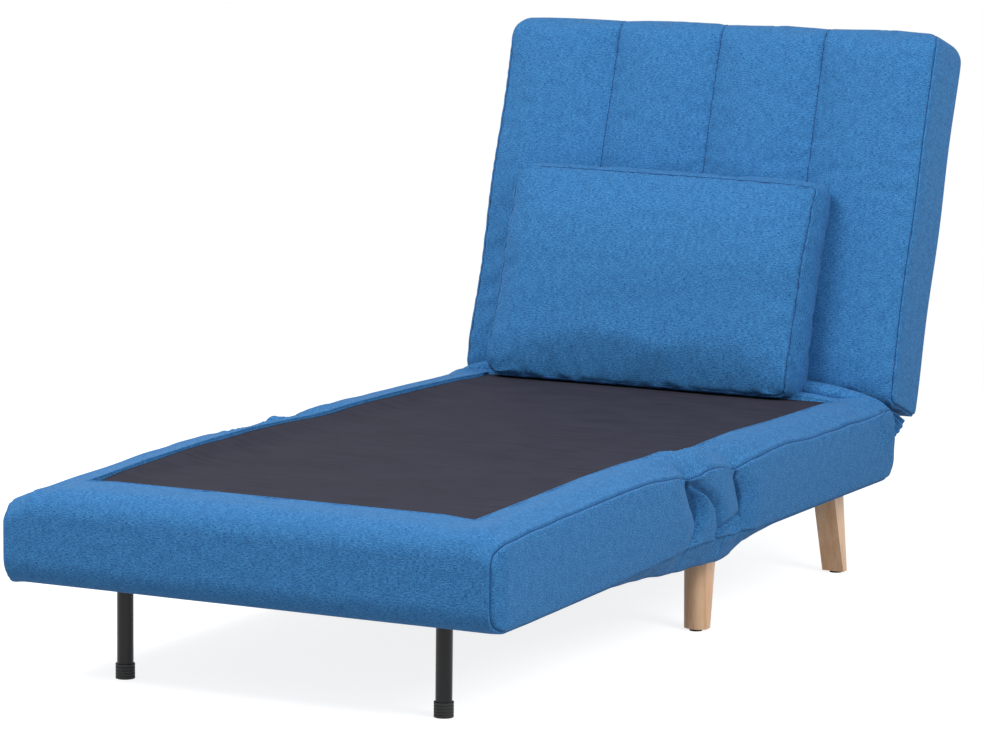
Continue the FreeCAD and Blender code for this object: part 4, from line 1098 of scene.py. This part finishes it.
def fold_roll(name, centre, radius, reach, drop):
    """A soft roll of slack cloth across the seat, drawn in towards its ends."""
    along = lines([-reach, -reach + 0.012, -reach + 0.04, 0, reach - 0.04, reach - 0.012, reach], 0.008)
    turns = np.arange(ROLL_SIDES) * 2 * math.pi / ROLL_SIDES
    at = np.abs(along) / reach
    size = np.sqrt(np.clip(1 - at ** 9, 0.03, 1))
    wave = 0.0012 * np.sin(along * 37 + 1.3 * np.sin(along * 13))
    y = centre[0] + wave[:, None] + radius[0] * size[:, None] * np.cos(turns)
    z = centre[1] + (radius[1] * size + 0.5 * wave)[:, None] * np.sin(turns) - (drop * at ** 4)[:, None]
    pleat = 0.0009 * np.sin(turns * 5 + 2)[None] * smooth(np.abs(along), reach - 0.09, reach)[:, None]
    across = np.repeat(along[:, None], ROLL_SIDES, 1)
    corners = np.stack([across, y + pleat, z + pleat], -1).reshape(-1, 3)
    quads = rings(len(along), ROLL_SIDES, False)
    piece = solid(name, corners, quads, blue)
    map_cloth(piece.data, [(corners[v][0], ROLL_ROUND * (v % ROLL_SIDES) / ROLL_SIDES)
                           for quad in quads for v in quad])
    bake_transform(piece)


fold_roll("upper_crease_fold", (REAR - 0.020, DECK + 0.013), (0.017, 0.013), 0.357, 0.022)
fold_roll("lower_crease_fold", (REAR + 0.008, DECK - 0.022), (0.017, 0.019), 0.350, 0.006)
fold_roll("rear_crease_fold", (REAR + 0.042, DECK - 0.036), (0.036, 0.015), 0.345, 0.004)


def gusset(name, hand):
    """The sleeve's slack at one end of the crease, pleated down from the knot like a fan."""
    round_arc, out = np.linspace(0, 1, 41), np.linspace(0.03, 1, 10)
    stops = np.array([0.0, 0.25, 0.5, 0.75, 1.0])
    arc_y = REAR + np.interp(round_arc, stops, np.array([12, 24, 38, 52, 60]) / 1000)
    arc_z = DECK + np.interp(round_arc, stops, np.array([-66, -58, -54, -47, -38]) / 1000)
    knot_y, knot_z = REAR - 0.018, DECK - 0.004
    y = knot_y + (arc_y - knot_y) * out[:, None]
    z = knot_z + (arc_z - knot_z) * out[:, None]
    pleats = 0.0036 * np.sin(round_arc * 2 * math.pi * 4.5)[None] * out[:, None] ** 0.6
    pleats = pleats * (1 - smooth(out, 0.82, 1.0) * 0.8)[:, None]
    sides = []
    for depth in (0.0, 0.030):
        x = 0.3545 - depth + pleats * (depth == 0) - 0.004 * (1 - out[:, None]) + 0 * y
        sides.append(np.stack([hand * x, y, z], -1))
    corners = np.concatenate([side.reshape(-1, 3) for side in sides])
    index = np.arange(len(corners)).reshape(2, *y.shape)
    quads = []
    for layer, grid in enumerate(index):
        quad = np.stack([grid[:-1, :-1], grid[1:, :-1], grid[1:, 1:], grid[:-1, 1:]], -1).reshape(-1, 4)
        quads.append(quad[:, ::-1] if (hand > 0) == (layer == 0) else quad)
    rim = np.concatenate([index[:, 0, :-1], index[:, :-1, -1], index[:, -1, :0:-1], index[:, :0:-1, 0]], 1)
    after = np.roll(rim, -1, 1)
    strip = np.stack([rim[0], after[0], after[1], rim[1]], -1)
    quads.append(strip if hand > 0 else strip[:, ::-1])
    quads = np.concatenate(quads)
    piece = solid(name, corners, quads.tolist(), blue)
    map_cloth(piece.data, corners[quads][..., 1:])
    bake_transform(piece)


gusset("left_crease_gusset", -1)
gusset("right_crease_gusset", 1)
print("three crease folds and two gussets behind the seat")

# %% [markdown]
# ## Floor, backdrop and light
# A white room: large soft lamps above and to the left, and a floor that is plain white to the
# camera but keeps the sofa's shadow.

# %% Studio
world = bpy.data.worlds.new("studio")
bpy.context.scene.world = world
world.use_nodes = True
world_tree = world.node_tree
backdrop = world_tree.nodes["Background"]
white = world_tree.nodes.new("ShaderNodeBackground")
for background, strength in ((backdrop, 0.50), (white, 1.0)):
    background.inputs[0].default_value = (1, 1, 1, 1)
    background.inputs[1].default_value = strength
path = world_tree.nodes.new("ShaderNodeLightPath")
either = world_tree.nodes.new("ShaderNodeMath")
either.operation = "MAXIMUM"
choose = world_tree.nodes.new("ShaderNodeMixShader")
for source, target in ((path.outputs["Is Camera Ray"], either.inputs[0]),
                       (path.outputs["Is Glossy Ray"], either.inputs[1]),
                       (either.outputs[0], choose.inputs[0]), (backdrop.outputs[0], choose.inputs[1]),
                       (white.outputs[0], choose.inputs[2]),
                       (choose.outputs[0], world_tree.nodes["World Output"].inputs[0])):
    world_tree.links.new(source, target)

FLOOR_GLOW = 0.84
FLOOR_REACH = 30
FLOOR_CORNERS = [(x * FLOOR_REACH, y * FLOOR_REACH, 0) for x, y in ((-1, -1), (1, -1), (1, 1), (-1, 1))]
floor_data = bpy.data.meshes.new("floor")
floor_data.from_pydata(FLOOR_CORNERS, [], [(0, 1, 2, 3)])
floor = bpy.data.objects.new("floor", floor_data)
bpy.context.collection.objects.link(floor)
floor_finish = Finish("floor_white", Roughness=1.0, Specular_IOR_Level=0.0)
floor_finish.shader.inputs["Base Color"].default_value = (0.44, 0.44, 0.44, 1)
seen = floor_finish.node("ShaderNodeLightPath")
looked_at = seen.math("MAXIMUM", seen.also("Is Camera Ray"), seen.also("Is Glossy Ray"))
away = floor_finish.node("ShaderNodeVectorMath", {"operation": "LENGTH"}, {0: floor_finish.on_piece()}, 1)
glow = (FLOOR_GLOW, FLOOR_GLOW, FLOOR_GLOW, 1)
floor_finish.wear("Emission Color", floor_finish.mix(looked_at, (0, 0, 0, 1), glow))
floor_finish.shader.inputs["Emission Strength"].default_value = 1.0
plain = floor_finish.node("ShaderNodeEmission", None, {"Strength": 1.0})
blend_out = floor_finish.node("ShaderNodeMixShader", None, {0: away.clear(1.2, 2.6)})
blend_node = blend_out.socket.node
floor_finish.tree.links.new(floor_finish.shader.outputs[0], blend_node.inputs[1])
floor_finish.tree.links.new(plain.socket, blend_node.inputs[2])
floor_finish.tree.links.new(blend_out.socket, floor_finish.tree.nodes["Material Output"].inputs[0])
floor.data.materials.append(floor_finish.material)


def lamp(name, place, target, size, power):
    light = bpy.data.lights.new(name, "AREA")
    light.energy, light.size = power, size
    made = bpy.data.objects.new(name, light)
    made.location = place
    made.rotation_euler = (Vector(target) - Vector(place)).to_track_quat("-Z", "Y").to_euler()
    bpy.context.collection.objects.link(made)


lamp("key_lamp", (-1.5, -2.2, 3.9), (0, 0, 0.3), 1.8, 130)
lamp("side_lamp", (3.4, -1.3, 2.6), (0, 0, 0.3), 1.6, 80)
bpy.context.scene.view_settings.view_transform = "Standard"
